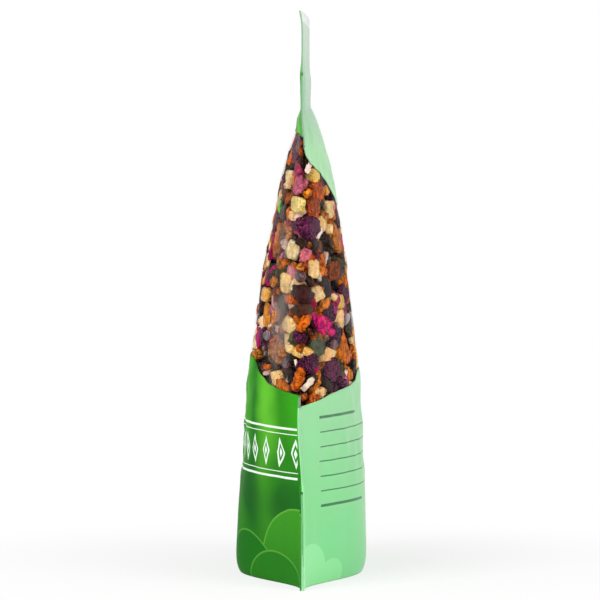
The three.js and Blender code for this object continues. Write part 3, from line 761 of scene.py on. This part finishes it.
def strip(draw, size, outline, curl, twist, ruffle, cup):
    """A thin piece that curls along its height. Its outline is in shares of the width."""
    width, thickness, height = size
    along = np.linspace(-0.5, 0.5, STRIP_ROWS)
    across = np.linspace(-1, 1, STRIP_COLUMNS)
    share = np.interp(along, np.linspace(-0.5, 0.5, len(outline)), outline)
    ragged = 1 + 0.12 * draw.normal(size=STRIP_ROWS)
    u = across[:, None] * (share * ragged * width / 2)
    t = np.repeat(along[None], STRIP_COLUMNS, 0)
    radius = height / curl
    angle = t * curl
    flat = np.stack([u.ravel(), np.zeros(u.size), (t * height).ravel()], 1)
    wave = wobble(flat, 0.45 * max(width, height), new_seed(draw)).reshape(u.shape)
    lift = cup * u**2 / width + ruffle * wave + twist * u * t
    thick = thickness / 2 * (1 - 0.55 * np.abs(across[:, None]) ** 3)
    sheets = []
    for sign in (1, -1):
        away = radius + lift + sign * thick
        sheets.append(np.stack([u, away * np.cos(angle) - radius, away * np.sin(angle)], -1))
    points, faces, _ = shell(*sheets, BACK)
    faces = np.concatenate([faces[:, :3], faces[:, [0, 2, 3]]])
    return points - points.mean(0), faces


STRIP_ROWS = 13
STRIP_COLUMNS = 7


def thin(outline, curls, twist, ruffle, cup):
    """The shape of a kind of thin piece, from its outline and the ways that it bends."""
    return lambda draw, size: strip(draw, size, outline, draw.uniform(*curls), twist, ruffle, cup)


petal = thin([0.3, 0.75, 1, 0.95, 0.6], (0.4, 1.6), 0.5, 0.45, 0.9)
peel = thin([0.7, 1, 0.9, 1, 0.75], (0.6, 2.2), 0.25, 0.22, 0.3)
slice_of_fruit = thin([0.45, 0.9, 1, 0.9, 0.5], (0.8, 2.4), 0.4, 0.4, -0.4)
leaf_bit = thin([0.15, 0.8, 1, 0.8, 0.3], (0.2, 1.0), 0.4, 0.35, 0.5)
shaving = thin([0.6, 1, 0.9, 0.8], (0.6, 1.5), 0.3, 0.25, 0.2)


def blossom(draw, size):
    """A crumpled bud: a lump folded into deep frills."""
    points, faces = BALLS[3]
    seed = new_seed(draw)
    frill = np.abs(wobble(points, 0.3, seed)) + 0.5 * np.abs(wobble(points, 0.15, seed + 1))
    return points * (0.78 + 0.2 * frill)[:, None] * size, faces


# Colours of the loose pieces
RUST = [(156, 74, 22), (178, 90, 26), (124, 54, 18), (194, 106, 38), (100, 44, 16), (206, 128, 56)]
ORANGE = [(222, 104, 14), (232, 126, 22), (204, 86, 12), (238, 148, 40)]
CREAM = [(252, 214, 154), (248, 200, 134), (240, 196, 136), (254, 226, 178), (236, 186, 92)]
PURPLE = [(66, 20, 50), (54, 16, 42), (80, 26, 60), (44, 14, 34)]
PINK = [(206, 108, 132), (190, 88, 116), (214, 128, 148), (178, 64, 100)]
MAGENTA = [(206, 16, 112), (184, 14, 98), (218, 34, 126)]
DARK = [(42, 24, 16), (56, 32, 20), (30, 16, 14), (48, 18, 18)]
LEAVES = [(66, 66, 40), (52, 52, 38), (84, 66, 38), (46, 34, 26)]
PALE = [(240, 208, 186), (228, 190, 170), (246, 218, 200)]
WINE = [(58, 12, 22), (38, 10, 16), (74, 16, 28)]

# Kinds of loose piece. Facing an end: the width, the thickness as a share of it, and how much longer it
# is. Against the films: its three sizes, how many lie at the film and under those, and the most they tilt.
Kind = namedtuple("Kind", "shape slot colours width thickness longer sizes outer under tilt")
ROUND = (1.0, 1.4)
KINDS = {
    "brambles": Kind(
        bramble, "berry", PURPLE, (6.5, 10.5), 0.9, ROUND, [(9, 13), (6.5, 9), (9, 12)], 40, 20, 0.8),
    "fruit_dice": Kind(
        dice, "candied_fruit", CREAM, (4.8, 6.8), 1.0, (1.0, 1.5), [(6, 8), (5, 7), (7, 9.5)], 48, 24, 0.8),
    "blossoms": Kind(
        blossom, "petal", MAGENTA, (5.5, 8.5), 0.8, ROUND, [(7, 10), (5.5, 7.5), (8, 11)], 22, 10, 0.8),
    "slices": Kind(
        slice_of_fruit, "fruit_slice", RUST + ORANGE, (5.5, 9), 0.5, (1.3, 2.0),
        [(8, 12), (2.4, 3.8), (10, 14)], 110, 70, 1.2),
    "petals": Kind(
        petal, "petal", PINK + MAGENTA[:1], (3.8, 5.6), 0.3, (1.4, 2.2),
        [(7, 10), (1.1, 1.7), (9, 12)], 44, 20, 1.2),
    "peels": Kind(
        peel, "peel", ORANGE, (3.6, 5.4), 0.5, (1.5, 2.4), [(5, 7), (2, 2.8), (10, 14)], 64, 30, 1.2),
    "leaf_bits": Kind(
        leaf_bit, "leaf", LEAVES, (5, 7.5), 0.25, (1.2, 1.8), [(6, 9), (0.8, 1.2), (8, 12)], 30, 16, 1.1),
    "shavings": Kind(
        shaving, "shaving", PALE, (2.4, 3.6), 0.3, (1.9, 2.8), [(3.5, 5.5), (1, 1.5), (8, 11)], 30, 10, 1.2),
    "currants": Kind(
        currant, "berry", WINE, (4.2, 5), 0.95, ROUND, [(5, 6.5), (4.6, 5.6), (5, 6.5)], 26, 10, 1.2),
    "raisins": Kind(
        raisin, "berry", DARK, (4.5, 7), 0.8, (1.2, 1.7), [(6, 8.5), (4, 5.4), (8, 11)], 34, 20, 0.6),
    "chunks": Kind(
        chunk, "fruit_slice", RUST, (5, 8.5), 0.85, ROUND, [(7, 11), (5, 7.5), (7, 11)], 150, 190, 1.0),
    "crumbs": Kind(
        chunk, "loose_fill", RUST + DARK + ORANGE[:2], (2, 4), 0.8, ROUND,
        [(2.4, 4.2), (1.8, 3), (2.4, 4.6)], 260, 60, 1.2),
}


def fruit_materials():
    """A material for each kind, with its dark and light patches as shares of the piece's tint."""
    sugar = (1.7, 0.4, rgb(196, 104, 150))
    crust = (1.4, 0.4, rgb(255, 246, 226))
    dust = (1.1, 0.2, rgb(222, 150, 84))
    return {
        "brambles": dried("sugared_berry", (0.4, 0.3, 0.36), (1.9, 1.3, 1.7), 0.5, 1.6, 0.6, specks=sugar),
        "fruit_dice": dried(
            "candied_fruit", (0.86, 0.74, 0.54), (1.12, 1.08, 1.04), 0.5, 2.4, 0.3, soft=0.2, specks=crust),
        "blossoms": dried("flower_bud", (0.4, 0.2, 0.5), (1.6, 2.2, 1.3), 0.6, 1.8, 0.6),
        "slices": dried(
            "fruit_slice", (0.4, 0.3, 0.24), (1.55, 1.4, 1.1), 0.5, 2.2, 0.7, specks=dust, veins=0.5),
        "petals": dried("petal", (0.5, 0.34, 0.44), (1.2, 1.2, 1.15), 0.6, 2.2, 0.6, veins=0.5),
        "peels": dried("peel", (0.55, 0.4, 0.3), (1.35, 1.35, 1.2), 0.45, 1.8, 0.6, specks=dust),
        "leaf_bits": dried("leaf", (0.45, 0.45, 0.45), (1.6, 1.6, 1.4), 0.6, 2.0, 0.4, veins=0.7),
        "shavings": dried("shaving", (0.82, 0.74, 0.7), (1.06, 1.04, 1.02), 0.6, 1.6, 0.3),
        "currants": dried("currant", (0.5, 0.5, 0.5), (1.7, 1.6, 1.6), 0.18, 2.2, 0.12, mirror=0.5),
        "raisins": dried("raisin", (0.4, 0.35, 0.3), (1.7, 1.5, 1.3), 0.5, 1.4, 0.5, mirror=0.1),
        "chunks": dried("fruit_chunk", (0.36, 0.26, 0.2), (1.6, 1.45, 1.15), 0.5, 1.9, 0.7, specks=dust),
        "crumbs": dried("crumb", (0.45, 0.36, 0.3), (1.45, 1.35, 1.2), 0.6, 1.3, 0.4),
    }


# Packing the pieces against the films

def spot(side, x, z, depth):
    """A place under a film: the point, and the ways sideways, outward and upward there."""
    xs = x + np.array([0, side, -side, 0, 0])
    zs = z + np.array([0, 0, 0, 1, -1])
    points = np.stack([xs, quick_y(side, xs, zs) - side * FILM / 2, zs], -1)
    upward = points[3] - points[4]
    upward /= np.linalg.norm(upward)
    outward = np.cross(upward, points[1] - points[2])
    outward /= np.linalg.norm(outward)
    return points[0] - outward * depth, np.stack([np.cross(outward, upward), outward, upward])


def turned(draw, tilt, spin=None):
    """A turn round Y, random if no spin is given, and then up to tilt off it."""
    spin = draw.uniform(0, 2 * math.pi) if spin is None else spin
    lean, way = draw.uniform(0, tilt), draw.uniform(0, 2 * math.pi)
    about_y = rotation((0, 1, 0), spin)
    return rotation((math.cos(way), 0, math.sin(way)), lean) @ about_y


def rotation(axis, angle):
    x, y, z = axis
    cross = np.array([[0, -z, y], [z, 0, -x], [-y, x, 0]])
    return np.eye(3) + math.sin(angle) * cross + (1 - math.cos(angle)) * cross @ cross


def past_film(points, side, gap):
    """How far each point is past the clearance under a film, along Y."""
    x, y, z = points.T
    return side * (y - quick_y(side, x, z)) + FILM / 2 + gap


def between_films(points):
    """Points pressed flat against whichever film they would pass through."""
    points[:, 0] = np.clip(points[:, 0], WELD_EDGE - BULGE_HALF, BULGE_HALF - WELD_EDGE)
    for film in (FRONT, BACK):
        points[:, 1] -= film * np.maximum(past_film(points, film, FILM_TO_FRUIT), 0)
    return points


def seated(points, side, axes, pressed):
    """Points moved in from their film until it flattens only as much of them as pressed says."""
    slope = max(side * axes[1][1], 0.35)
    for _ in range(3):
        over = past_film(points, side, FILM_TO_FRUIT).max() - pressed
        if over > 0:
            points = points - axes[1] * over * slope
    return between_films(points)


END_YS = np.arange(-28, 28.5, TABLE_STEP)
END_ZS = np.arange(0, TOP + 1, 1.0)


def end_table(end):
    """How far towards that end the inside of the pack reaches, for each Y and Z."""
    xs = np.arange(0, BULGE_HALF, TABLE_STEP)
    x, z = np.meshgrid(xs, END_ZS, indexing="ij")
    gap = FILM / 2 + FILM_TO_FRUIT
    low, high = (quick_y(side, end * x, z) - side * gap for side in (FRONT, BACK))
    ys = END_YS[:, None, None]
    return np.where((ys > low) & (ys < high), xs[:, None], 0).max(1)


END_TABLES = {end: end_table(end) for end in (1, -1)}


def end_reach(end, y, z):
    return read_table(END_TABLES[end], (y - END_YS[0]) / TABLE_STEP, z)


def oval(dy, dz, across, up):
    """Below 1 inside an oval of those half extents."""
    return (dy / across) ** 2 + (dz / up) ** 2


class Heap:
    """The places already taken, so that pieces lie beside each other."""

    def __init__(self):
        self.places = np.zeros((0, 3))
        self.reaches = np.zeros(0)
        self.shown = []

    def show(self, end, layer, middle, half):
        self.shown.append((end, layer, *middle, *half))

    def clear(self, end, layer, y, z, half, closeness):
        """Whether a piece facing an end would lie beside those of its layer."""
        return not any(
            its_end == end and (its_layer == layer or layer == 1 > its_layer)
            and oval(y - its_y, z - its_z, across + half[0], up + half[1]) < closeness**2
            for its_end, its_layer, _, its_y, its_z, across, up in self.shown)

    def hides(self, place, reach):
        """Whether a piece there would lie before one that an end shows, or in it."""
        half = 0.5 * reach
        return any(
            layer < 2 and oval(place[1] - y, place[2] - z, across + half, up + half) < 1
            and end * (place[0] - x) > -1.3 * (across + reach)
            for end, layer, x, y, z, across, up in self.shown)

    def free(self, place, reach, closeness):
        far = np.linalg.norm(self.places - place, axis=1)
        return bool((far > (self.reaches + reach) * closeness).all()) and not self.hides(place, reach)

    def take(self, place, reach):
        self.places = np.vstack([self.places, place])
        self.reaches = np.append(self.reaches, reach)


def tint_of(draw, kind):
    """One of a kind's colours, a little changed."""
    colours = KINDS[kind].colours
    tint = np.array(rgb(*colours[draw.integers(len(colours))]))
    tint[:3] *= draw.uniform(0.8, 1.2) * draw.uniform(0.94, 1.06, 3)
    return tint


def scatter(kind, heap, draw, count, depth, closeness, tries):
    """A kind's pieces under the films, thrown down until count of them lie free."""
    facts, parts = KINDS[kind], []
    for _ in range(tries):
        if len(parts) == count:
            break
        side = FRONT if draw.random() < 0.5 else BACK
        x = draw.uniform(-SCATTER_HALF, SCATTER_HALF)
        low, high = float(border(side, "low", x)) - 4, float(border(side, "high", x)) + 4
        z = draw.uniform(low, min(high, FILL_TOP - 1))
        size = np.array([draw.uniform(*pair) for pair in facts.sizes])
        room = float(half_depth(FRONT, x, z) + half_depth(BACK, x, z)) - 2 * depth
        if room < LEAST_ROOM:
            continue
        size[1] = min(size[1], 0.8 * room)
        place, axes = spot(side, x, z, depth)
        reach = 0.5 * math.sqrt(size[0] * size[2])
        if not heap.free(place, reach, closeness):
            continue
        heap.take(place, reach)
        points, faces = facts.shape(draw, size)
        points = points @ turned(draw, facts.tilt).T
        points[:, 1] -= points[:, 1].max() + FILM_TO_FRUIT
        points = seated(points @ axes + place, side, axes, 0.35 * size.min() + 0.5)
        parts.append((points, faces, tint_of(draw, kind)))
    return parts


def shaded(points, tint):
    """A piece's tint at each point with painted shade, darker the deeper the point lies in the heap."""
    near = np.maximum(past_film(points, FRONT, 0), past_film(points, BACK, 0))
    for end in (1, -1):
        near = np.maximum(near, 0.7 * (end * points[:, 0] - end_reach(end, points[:, 1], points[:, 2])))
    return tint[None] * (1 - PAINTED_SHADE_STRENGTH * smooth(-near, 1.0, PAINTED_SHADE_DEPTH))[:, None]


def heap_piece(name, parts, material):
    """One object of all the scattered pieces of a kind."""
    starts = np.cumsum([0] + [len(points) for points, _, _ in parts])
    points = np.concatenate([points for points, _, _ in parts])
    faces = np.concatenate([faces + start for (_, faces, _), start in zip(parts, starts)])
    piece = make_mesh(name, points, faces, materials=[material])
    # Each piece's colour with the heap's painted shade multiplied in, kept as the tint attribute.
    shades = np.concatenate([shaded(points, tint) for points, _, tint in parts])
    layer = piece.data.color_attributes.new("tint", "FLOAT_COLOR", "POINT")
    layer.data.foreach_set("color", shades.astype(np.float32).ravel())
    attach(piece, "root")
    return piece


# The fruit that the frame names, numbered from 1: the kind, then for each its colour as seen, the Y and Z
# of its middle, the width and height that show from the side, and its turn in degrees
NAMED = {
    "sugared_berry": ("brambles", [
        (70, 22, 52, -0.4, 159.7, 7.3, 12.4, 10), (78, 26, 60, 2.2, 131.5, 10.9, 9.4, 30),
        (62, 18, 46, 6.6, 147.9, 7.0, 5.1, 0), (84, 28, 62, 9.9, 78.8, 10.3, 9.5, 20),
        (66, 22, 50, 15.3, 105.3, 5.6, 9.7, 5)]),
    "pineapple_dice": ("fruit_dice", [
        (252, 214, 156, -4.4, 148.6, 5.1, 7.3, 12), (226, 202, 118, -0.8, 139.8, 5.8, 6.2, 8),
        (236, 214, 168, -2.6, 123.0, 6.6, 8.0, 24), (254, 216, 152, -3.7, 88.9, 4.7, 7.3, 2),
        (254, 210, 146, 4.7, 116.3, 4.7, 7.3, 3)]),
    "papaya_dice": ("fruit_dice", [
        (246, 180, 86, -13.2, 105.6, 4.8, 5.6, 8), (248, 206, 146, 10.0, 137.4, 5.2, 6.6, 14)]),
    "currant": ("currants", [
        (58, 20, 20, 0.1, 113.7, 4.4, 4.4, 0), (92, 58, 70, -12.1, 90.8, 4.4, 4.4, 40),
        (62, 10, 24, 15.7, 96.6, 4.8, 4.8, -30)]),
    "raisin": ("raisins", [
        (56, 42, 34, -5.8, 136.5, 5.1, 6.6, 15), (30, 24, 22, 12.3, 114.2, 6.3, 9.6, 10)]),
    "rose_petal": ("petals", [
        (212, 112, 136, -0.5, 146.7, 5.8, 7.3, 38), (214, 16, 122, 13.6, 124.2, 5.9, 7.4, -20),
        (212, 104, 124, -12.3, 112.3, 4.8, 6.7, 35), (200, 20, 116, -16.3, 89.2, 3.0, 8.2, 0),
        (214, 110, 126, 1.7, 121.4, 5.1, 5.8, 40), (206, 60, 150, 11.4, 99.0, 4.0, 6.6, 10),
        (204, 14, 112, 7.4, 95.8, 9.1, 8.0, 30), (170, 22, 72, 4.3, 104.1, 3.6, 5.1, -35)]),
    "orange_peel": ("peels", [
        (206, 116, 34, -8.3, 128.3, 4.8, 9.2, 25), (208, 98, 18, -0.7, 76.0, 5.8, 9.4, 30),
        (238, 138, 22, 2.7, 143.9, 3.6, 4.0, 60), (236, 160, 70, 8.6, 144.8, 5.9, 4.4, 20),
        (232, 112, 16, 14.8, 90.5, 4.1, 8.9, -25), (222, 106, 18, 15.9, 82.5, 7.4, 5.9, 40)]),
    "apple_slice": ("slices", [
        (248, 208, 156, -12.9, 118.0, 3.3, 6.7, 10), (204, 128, 52, -9.6, 110.3, 4.8, 5.5, -50),
        (252, 206, 156, 7.0, 70.9, 5.5, 5.1, 60)]),
    "rosehip": ("slices", [(166, 68, 24, 3.9, 138.6, 5.1, 7.3, 20)]),
    "leaf_bit": ("leaf_bits", [
        (96, 196, 62, -8.1, 138.4, 3.0, 4.8, 10), (70, 62, 50, -6.0, 104.1, 5.1, 6.6, 40),
        (74, 78, 64, 5.8, 87.3, 7.3, 8.0, 25), (66, 60, 50, 17.5, 92.4, 3.0, 6.0, -10)]),
    "coconut_shaving": ("shavings", [
        (252, 216, 176, -14.4, 95.0, 4.4, 5.9, -30), (254, 226, 214, 6.0, 129.1, 4.7, 6.6, 50),
        (254, 232, 222, 3.0, 153.2, 2.9, 4.7, 40), (244, 232, 224, 15.6, 74.6, 3.3, 7.4, 35)]),
}
BUDS = ("rose_petal_2", "rose_petal_7")
FACING_SIDE = np.array([[0, 1, 0], [1, 0, 0], [0, 0, 1]])

# Layers of pieces facing an end: how many are tried, their scale, how closely and how deep they lie.
# The second layer fills the gaps of the first.
LAYERS = [(2200, 1.0, 0.76, 0.0), (1600, 0.5, 0.7, 1.3), (900, 1.0, 0.7, 2.8), (900, 1.2, 0.76, 5.4)]
MIX = (["chunks"] * 8 + ["slices"] * 8 + ["peels"] * 4 + ["brambles"] * 5 + ["fruit_dice"] * 3
       + ["raisins"] * 4 + ["petals"] * 2 + ["shavings"] + ["currants"] * 2 + ["blossoms"] * 2
       + ["leaf_bits"] * 2)


def facing(draw, kind, end, y, z, width, height, turn, depth=0.0, fitted=False):
    """A piece that shows its breadth at one end of the pack, pressed against the films.

    Gives its points, faces, middle and half extents. A fitted one is stretched to its width and height.
    """
    size = (width, KINDS[kind].thickness * (min(width, height) if fitted else width), height)
    points, faces = KINDS[kind].shape(draw, np.array(size))
    points = points @ turned(draw, 0.3, turn).T @ FACING_SIDE * (end, 1, 1)
    extents = np.ptp(points, axis=0)
    if fitted:
        points *= (1, width / extents[1], height / extents[2])
        extents[1:] = width, height
    spread = (END_SPREAD, END_SPREAD) if depth else 0.36 * extents[1:]
    around = np.array([(0, 0), (1, 0), (-1, 0), (0, 1), (0, -1)]) * spread + (y, z)
    x = end_reach(end, *around.T).mean() - 0.45 * extents[0] - depth
    middle = np.array([end * max(x, 4), y, z])
    points = points + middle
    over = np.maximum(end * points[:, 0] - end_reach(end, points[:, 1], points[:, 2]), 0)
    points[:, 0] -= end * np.minimum(0.94 * over, (1.8 if fitted else 0.5) * extents[0] + 1)
    return between_films(points), faces if end < 0 else faces[:, ::-1], middle, extents[1:] / 2


def named_fruit(materials, heap):
    """Each named fruit as its own finer piece, facing the end that it shows at."""
    draw = np.random.default_rng(7)
    for family, (kind_of_all, rows) in NAMED.items():
        for number, (*shade, y, z, width, height, turn) in enumerate(rows, 1):
            node = f"{family}_{number}"
            kind = "blossoms" if node in BUDS else kind_of_all
            points, faces, middle, half = facing(
                draw, kind, 1, y, z, width, height, math.radians(turn), fitted=True)
            part = points, faces, np.array(rgb(*shade))
            piece = heap_piece(f"{node}_fine", [part], materials[kind])
            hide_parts(node)
            heap.show(1, 0, middle, 1.15 * half)


def end_piece(heap, draw, end, layer, scale, closeness, depth):
    """A random piece facing an end, with its kind, or nothing if it has no room."""
    kind = MIX[draw.integers(len(MIX))]
    width = draw.uniform(*KINDS[kind].width) * scale
    z = draw.uniform(FRUIT_FOOT, FILL_TOP - 1)
    low, high = (float(quick_y(side, np.float64(0), np.float64(z))) for side in (FRONT, BACK))
    y = draw.uniform(low + 0.8, high - 0.8)
    width = min(width, 0.9 * (high - low))
    height = width * draw.uniform(*KINDS[kind].longer)
    if heap.clear(end, layer, y, z, (width / 2, (width + height) / 4), closeness):
        turn = draw.uniform(0, 2 * math.pi)
        points, faces, middle, half = facing(draw, kind, end, y, z, width, height, turn, depth)
        heap.show(end, layer, middle, half)
        return kind, (points, faces, tint_of(draw, kind))
    return None


def ends(heap, draw):
    """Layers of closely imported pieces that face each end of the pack."""
    parts = {kind: [] for kind in KINDS}
    for end in (1, -1):
        for layer, (tries, *how) in enumerate(LAYERS):
            for _ in range(tries):
                found = end_piece(heap, draw, end, layer, *how)
                if found:
                    parts[found[0]].append(found[1])
    return parts


def loose_pieces(materials, heap):
    draw = np.random.default_rng(41)
    deep = Heap()
    at_ends = ends(heap, draw)
    deep.shown = heap.shown
    for kind, facts in KINDS.items():
        outer = scatter(kind, heap, draw, facts.outer, 0.0, 0.74, facts.outer * 14)
        under = scatter(kind, deep, draw, facts.under, UNDER_DEPTH, 0.68, facts.under * 10)
        heap_piece(kind, at_ends[kind] + outer + under, materials[kind])


def painted_shade_core_material():
    g = Graph("deep_blend_painted_shade")
    cells = {"Vector": g.millimetres(), "Scale": 0.28}
    hue = g.add("SeparateColor", {0: g.add("TexVoronoi", cells, 1)})
    # Near-black browns with rust and purple: the deeper fruit's colours with painted shade.
    paint = g.ramp(hue, [
        (0.0, 20, 9, 7), (0.35, 52, 24, 12), (0.6, 30, 12, 14),
        (0.8, 74, 36, 14), (0.92, 36, 20, 12),
    ], "CONSTANT")
    return g.finish(g.surface(paint, 0.7, 0.05, g.bump(g.add("TexVoronoi", cells), 1.5)))


def painted_shade_core():
    """The rest of the blend, behind the pieces that show, as one lumpy mass, coloured near-black brown as
    painted shade of the deep heap.
    """
    xs = np.linspace(-CORE_HALF, CORE_HALF, 70)
    zs = np.concatenate([np.linspace(42, 64, 12), np.linspace(66, FILL_TOP - 1, 70)])
    x, z = np.meshgrid(xs, zs, indexing="ij")
    skins = []
    for side in (FRONT, BACK):
        whole = half_depth(side, x, z) - FILM / 2
        deep = np.maximum(whole - 6.0, 0.42 * whole) + 0.7 * ripples(x, z, 5, 51 + side)
        brim = whole - 2.4 + 0.6 * ripples(x, z, 4, 61 + side)
        deep = deep + (brim - deep) * smooth(np.abs(x), 22, 10)
        deep = np.minimum(deep, whole - 0.7) * smooth(np.abs(x), CORE_HALF, CORE_HALF - 16)
        skins.append(np.stack([x, side * np.maximum(deep, 0.06) + sway(x, z), z], -1))
    points, faces, _ = shell(*skins, FRONT)
    core = make_mesh("deep_blend_painted_shade", points, faces, materials=[painted_shade_core_material()])
    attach(core, "root")
    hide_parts("loose_blend")


# The gusset

def gusset_line(x, outward):
    """The folded gusset at x, from the front foot over its fold to the back foot."""
    across = min(abs(x) / BULGE_HALF, 1)
    seal = GUSSET_SEAL_MID + (LEAF - GUSSET_SEAL_MID) * across**3
    reach = float(bulge(FRONT, x, np.float64(seal)) + bulge(BACK, x, np.float64(seal))) / 2
    free = LEAF - seal
    fold = seal + max(LEAF_SLACK * math.sqrt(max(free**2 - reach**2, 0)), 1)
    lines = []
    for side in (FRONT, BACK):
        rise = np.linspace(0, seal, 7)
        sealed = np.stack([
            np.full(7, x), film_y(side, np.full(7, x), rise, -LEAF_PITCH), rise], 1)
        top = sealed[-1]
        crease = np.array([x, side * SEALED_FACE + float(sway(x, seal)), fold])
        bend = np.array([x, crease[1] + 0.75 * (top[1] - crease[1]), (seal + fold) / 2])
        t = np.linspace(0, 1, 12)[1:, None]
        curve = (1 - t) ** 2 * top + 2 * t * (1 - t) * bend + t**2 * crease
        line = np.concatenate([sealed, curve])
        along = np.gradient(line, axis=0)
        along /= np.maximum(np.linalg.norm(along, axis=1, keepdims=True), 1e-9)
        line[:, 1] += side * along[:, 2] * outward
        line[:, 2] = np.maximum(line[:, 2] + np.abs(along[:, 1]) * outward, 0)
        lines.append(line)
    return np.concatenate([lines[0], lines[1][::-1]])


def gusset(material):
    xs = np.concatenate([-SEAL_COLUMNS[::-1], np.linspace(-BULGE_HALF, BULGE_HALF, 73), SEAL_COLUMNS])
    thicker = 0.1 * ramp(np.abs(xs), BULGE_HALF, BULGE_HALF + WELD_EDGE)
    upper = np.stack([gusset_line(x, FILM / 2 + more) for x, more in zip(xs, thicker)])
    lower = np.stack([gusset_line(x, -FILM / 2) for x in xs])
    points, faces, broad = shell(lower, upper, FRONT)
    piece = make_mesh("folded_gusset", points, faces, range(2 * broad, len(faces)), [material])
    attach(piece, "root")
    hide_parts("base_gusset")


# Building the object

def films():
    inside, clear_in = bare_film(), clear_inside()
    prints = {FRONT: front_print(), BACK: back_print()}
    # The second number is how strong the painted reflection beside the seam is.
    clears = {FRONT: clear_film("clear_film_front", 0.42), BACK: clear_film("clear_film_back", 0.05)}
    for side, word in ((FRONT, "front"), (BACK, "back")):
        halves = [
            film_piece(f"{word}_{part}", side, part, [prints[side], inside, rim])
            for part, rim in (("foot", prints[side]), ("head", inside))
        ]
        printed = joined(f"{word}_print", halves)
        window = film_piece(f"{word}_window", side, "window", [clears[side], clear_in, clear_in])
        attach(printed, "root")
        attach(window, "root")
        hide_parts(f"{word}_panel")
    gusset(prints[BACK])


def zips():
    plastic = zip_plastic()
    for node in ("zip_male", "zip_female"):
        mesh = frame["nodes"][node].data
        mesh.materials.clear()
        mesh.materials.append(plastic)


# The studio

CAMERA_PLACE = (1472, 28.7, 171.6)
CAMERA_AIM = (0, -1.13, 102.6)
CAMERA_LENS = 233.9
FLOOR_HALF = 3000
SHADOW_FADE = (30, 200)
AMBIENT = 0.34

# Square lights: place, width and power
SOFTBOXES = {"key": ((900, -700, 900), 700, 13.5), "fill": ((900, 900, 600), 800, 11.5)}


def look(thing, place, aim):
    thing.location = Vector(place) * MM
    thing.rotation_mode = "QUATERNION"
    thing.rotation_quaternion = (Vector(aim) - Vector(place)).to_track_quat("-Z", "Y")
    bpy.context.scene.collection.objects.link(thing)


def camera():
    data = bpy.data.cameras.new("camera")
    data.lens = CAMERA_LENS
    data.clip_start = 0.05
    data.clip_end = 20
    eye = bpy.data.objects.new("camera", data)
    look(eye, CAMERA_PLACE, CAMERA_AIM)
    bpy.context.scene.camera = eye


def softboxes():
    for name, (place, size, power) in SOFTBOXES.items():
        data = bpy.data.lights.new(name, "AREA")
        data.size = size * MM
        data.energy = power
        look(bpy.data.objects.new(name, data), place, (0, 0, 90))


def world():
    """Light from all round, a little more from the front, and white where a gloss mirrors it."""
    g = Graph("studio", is_world=True)
    along_y = g.axis(g.add("TexCoord", output=0), 1)
    level = g.add("MapRange", {0: along_y, 1: -0.7, 2: 0.5, 3: AMBIENT * 1.2, 4: AMBIENT * 0.8})
    strength = g.add("Mix", {0: shows_white(g), 2: level, 3: 1.0}, 0, data_type="FLOAT")
    bpy.context.scene.world = g.finish(g.add("Background", {"Color": (1, 1, 1, 1), "Strength": strength}))


def shows_white(g):
    """1 for the rays that should meet a white studio: from the camera, and by gloss or clear film."""
    rays = g.add("LightPath").node.outputs
    return g.most(rays["Is Camera Ray"], g.most(rays["Is Glossy Ray"], rays["Is Transmission Ray"]))


def floor():
    """A pale floor that keeps the contact shadow and fades to white away from it."""
    corners = [(-1, -1), (1, -1), (1, 1), (-1, 1)]
    points = [(x * FLOOR_HALF, y * FLOOR_HALF, 0) for x, y in corners]
    g = Graph("floor")
    where = g.millimetres()
    far = g.add("VectorMath", {0: where}, 1, operation="LENGTH")
    paint = g.mix(g.noise(where, 0.02), (0.93, 0.93, 0.93, 1), (0.95, 0.95, 0.95, 1))
    white = g.add("Emission", {"Color": (1, 1, 1, 1), "Strength": 1.0})
    share = g.times(g.span(far, *SHADOW_FADE, 0.72, 1.0), shows_white(g))
    shader = g.add("MixShader", {0: share, 1: g.add("BsdfDiffuse", {"Color": paint}), 2: white})
    make_mesh("floor", points, [(0, 1, 2, 3)], materials=[g.finish(shader)])


def studio():
    camera()
    world()
    floor()
    softboxes()


bpy.context.scene.view_settings.view_transform = "Standard"
studio()
films()
zips()
MATERIALS = fruit_materials()
HEAP = Heap()
named_fruit(MATERIALS, HEAP)
loose_pieces(MATERIALS, HEAP)
painted_shade_core()
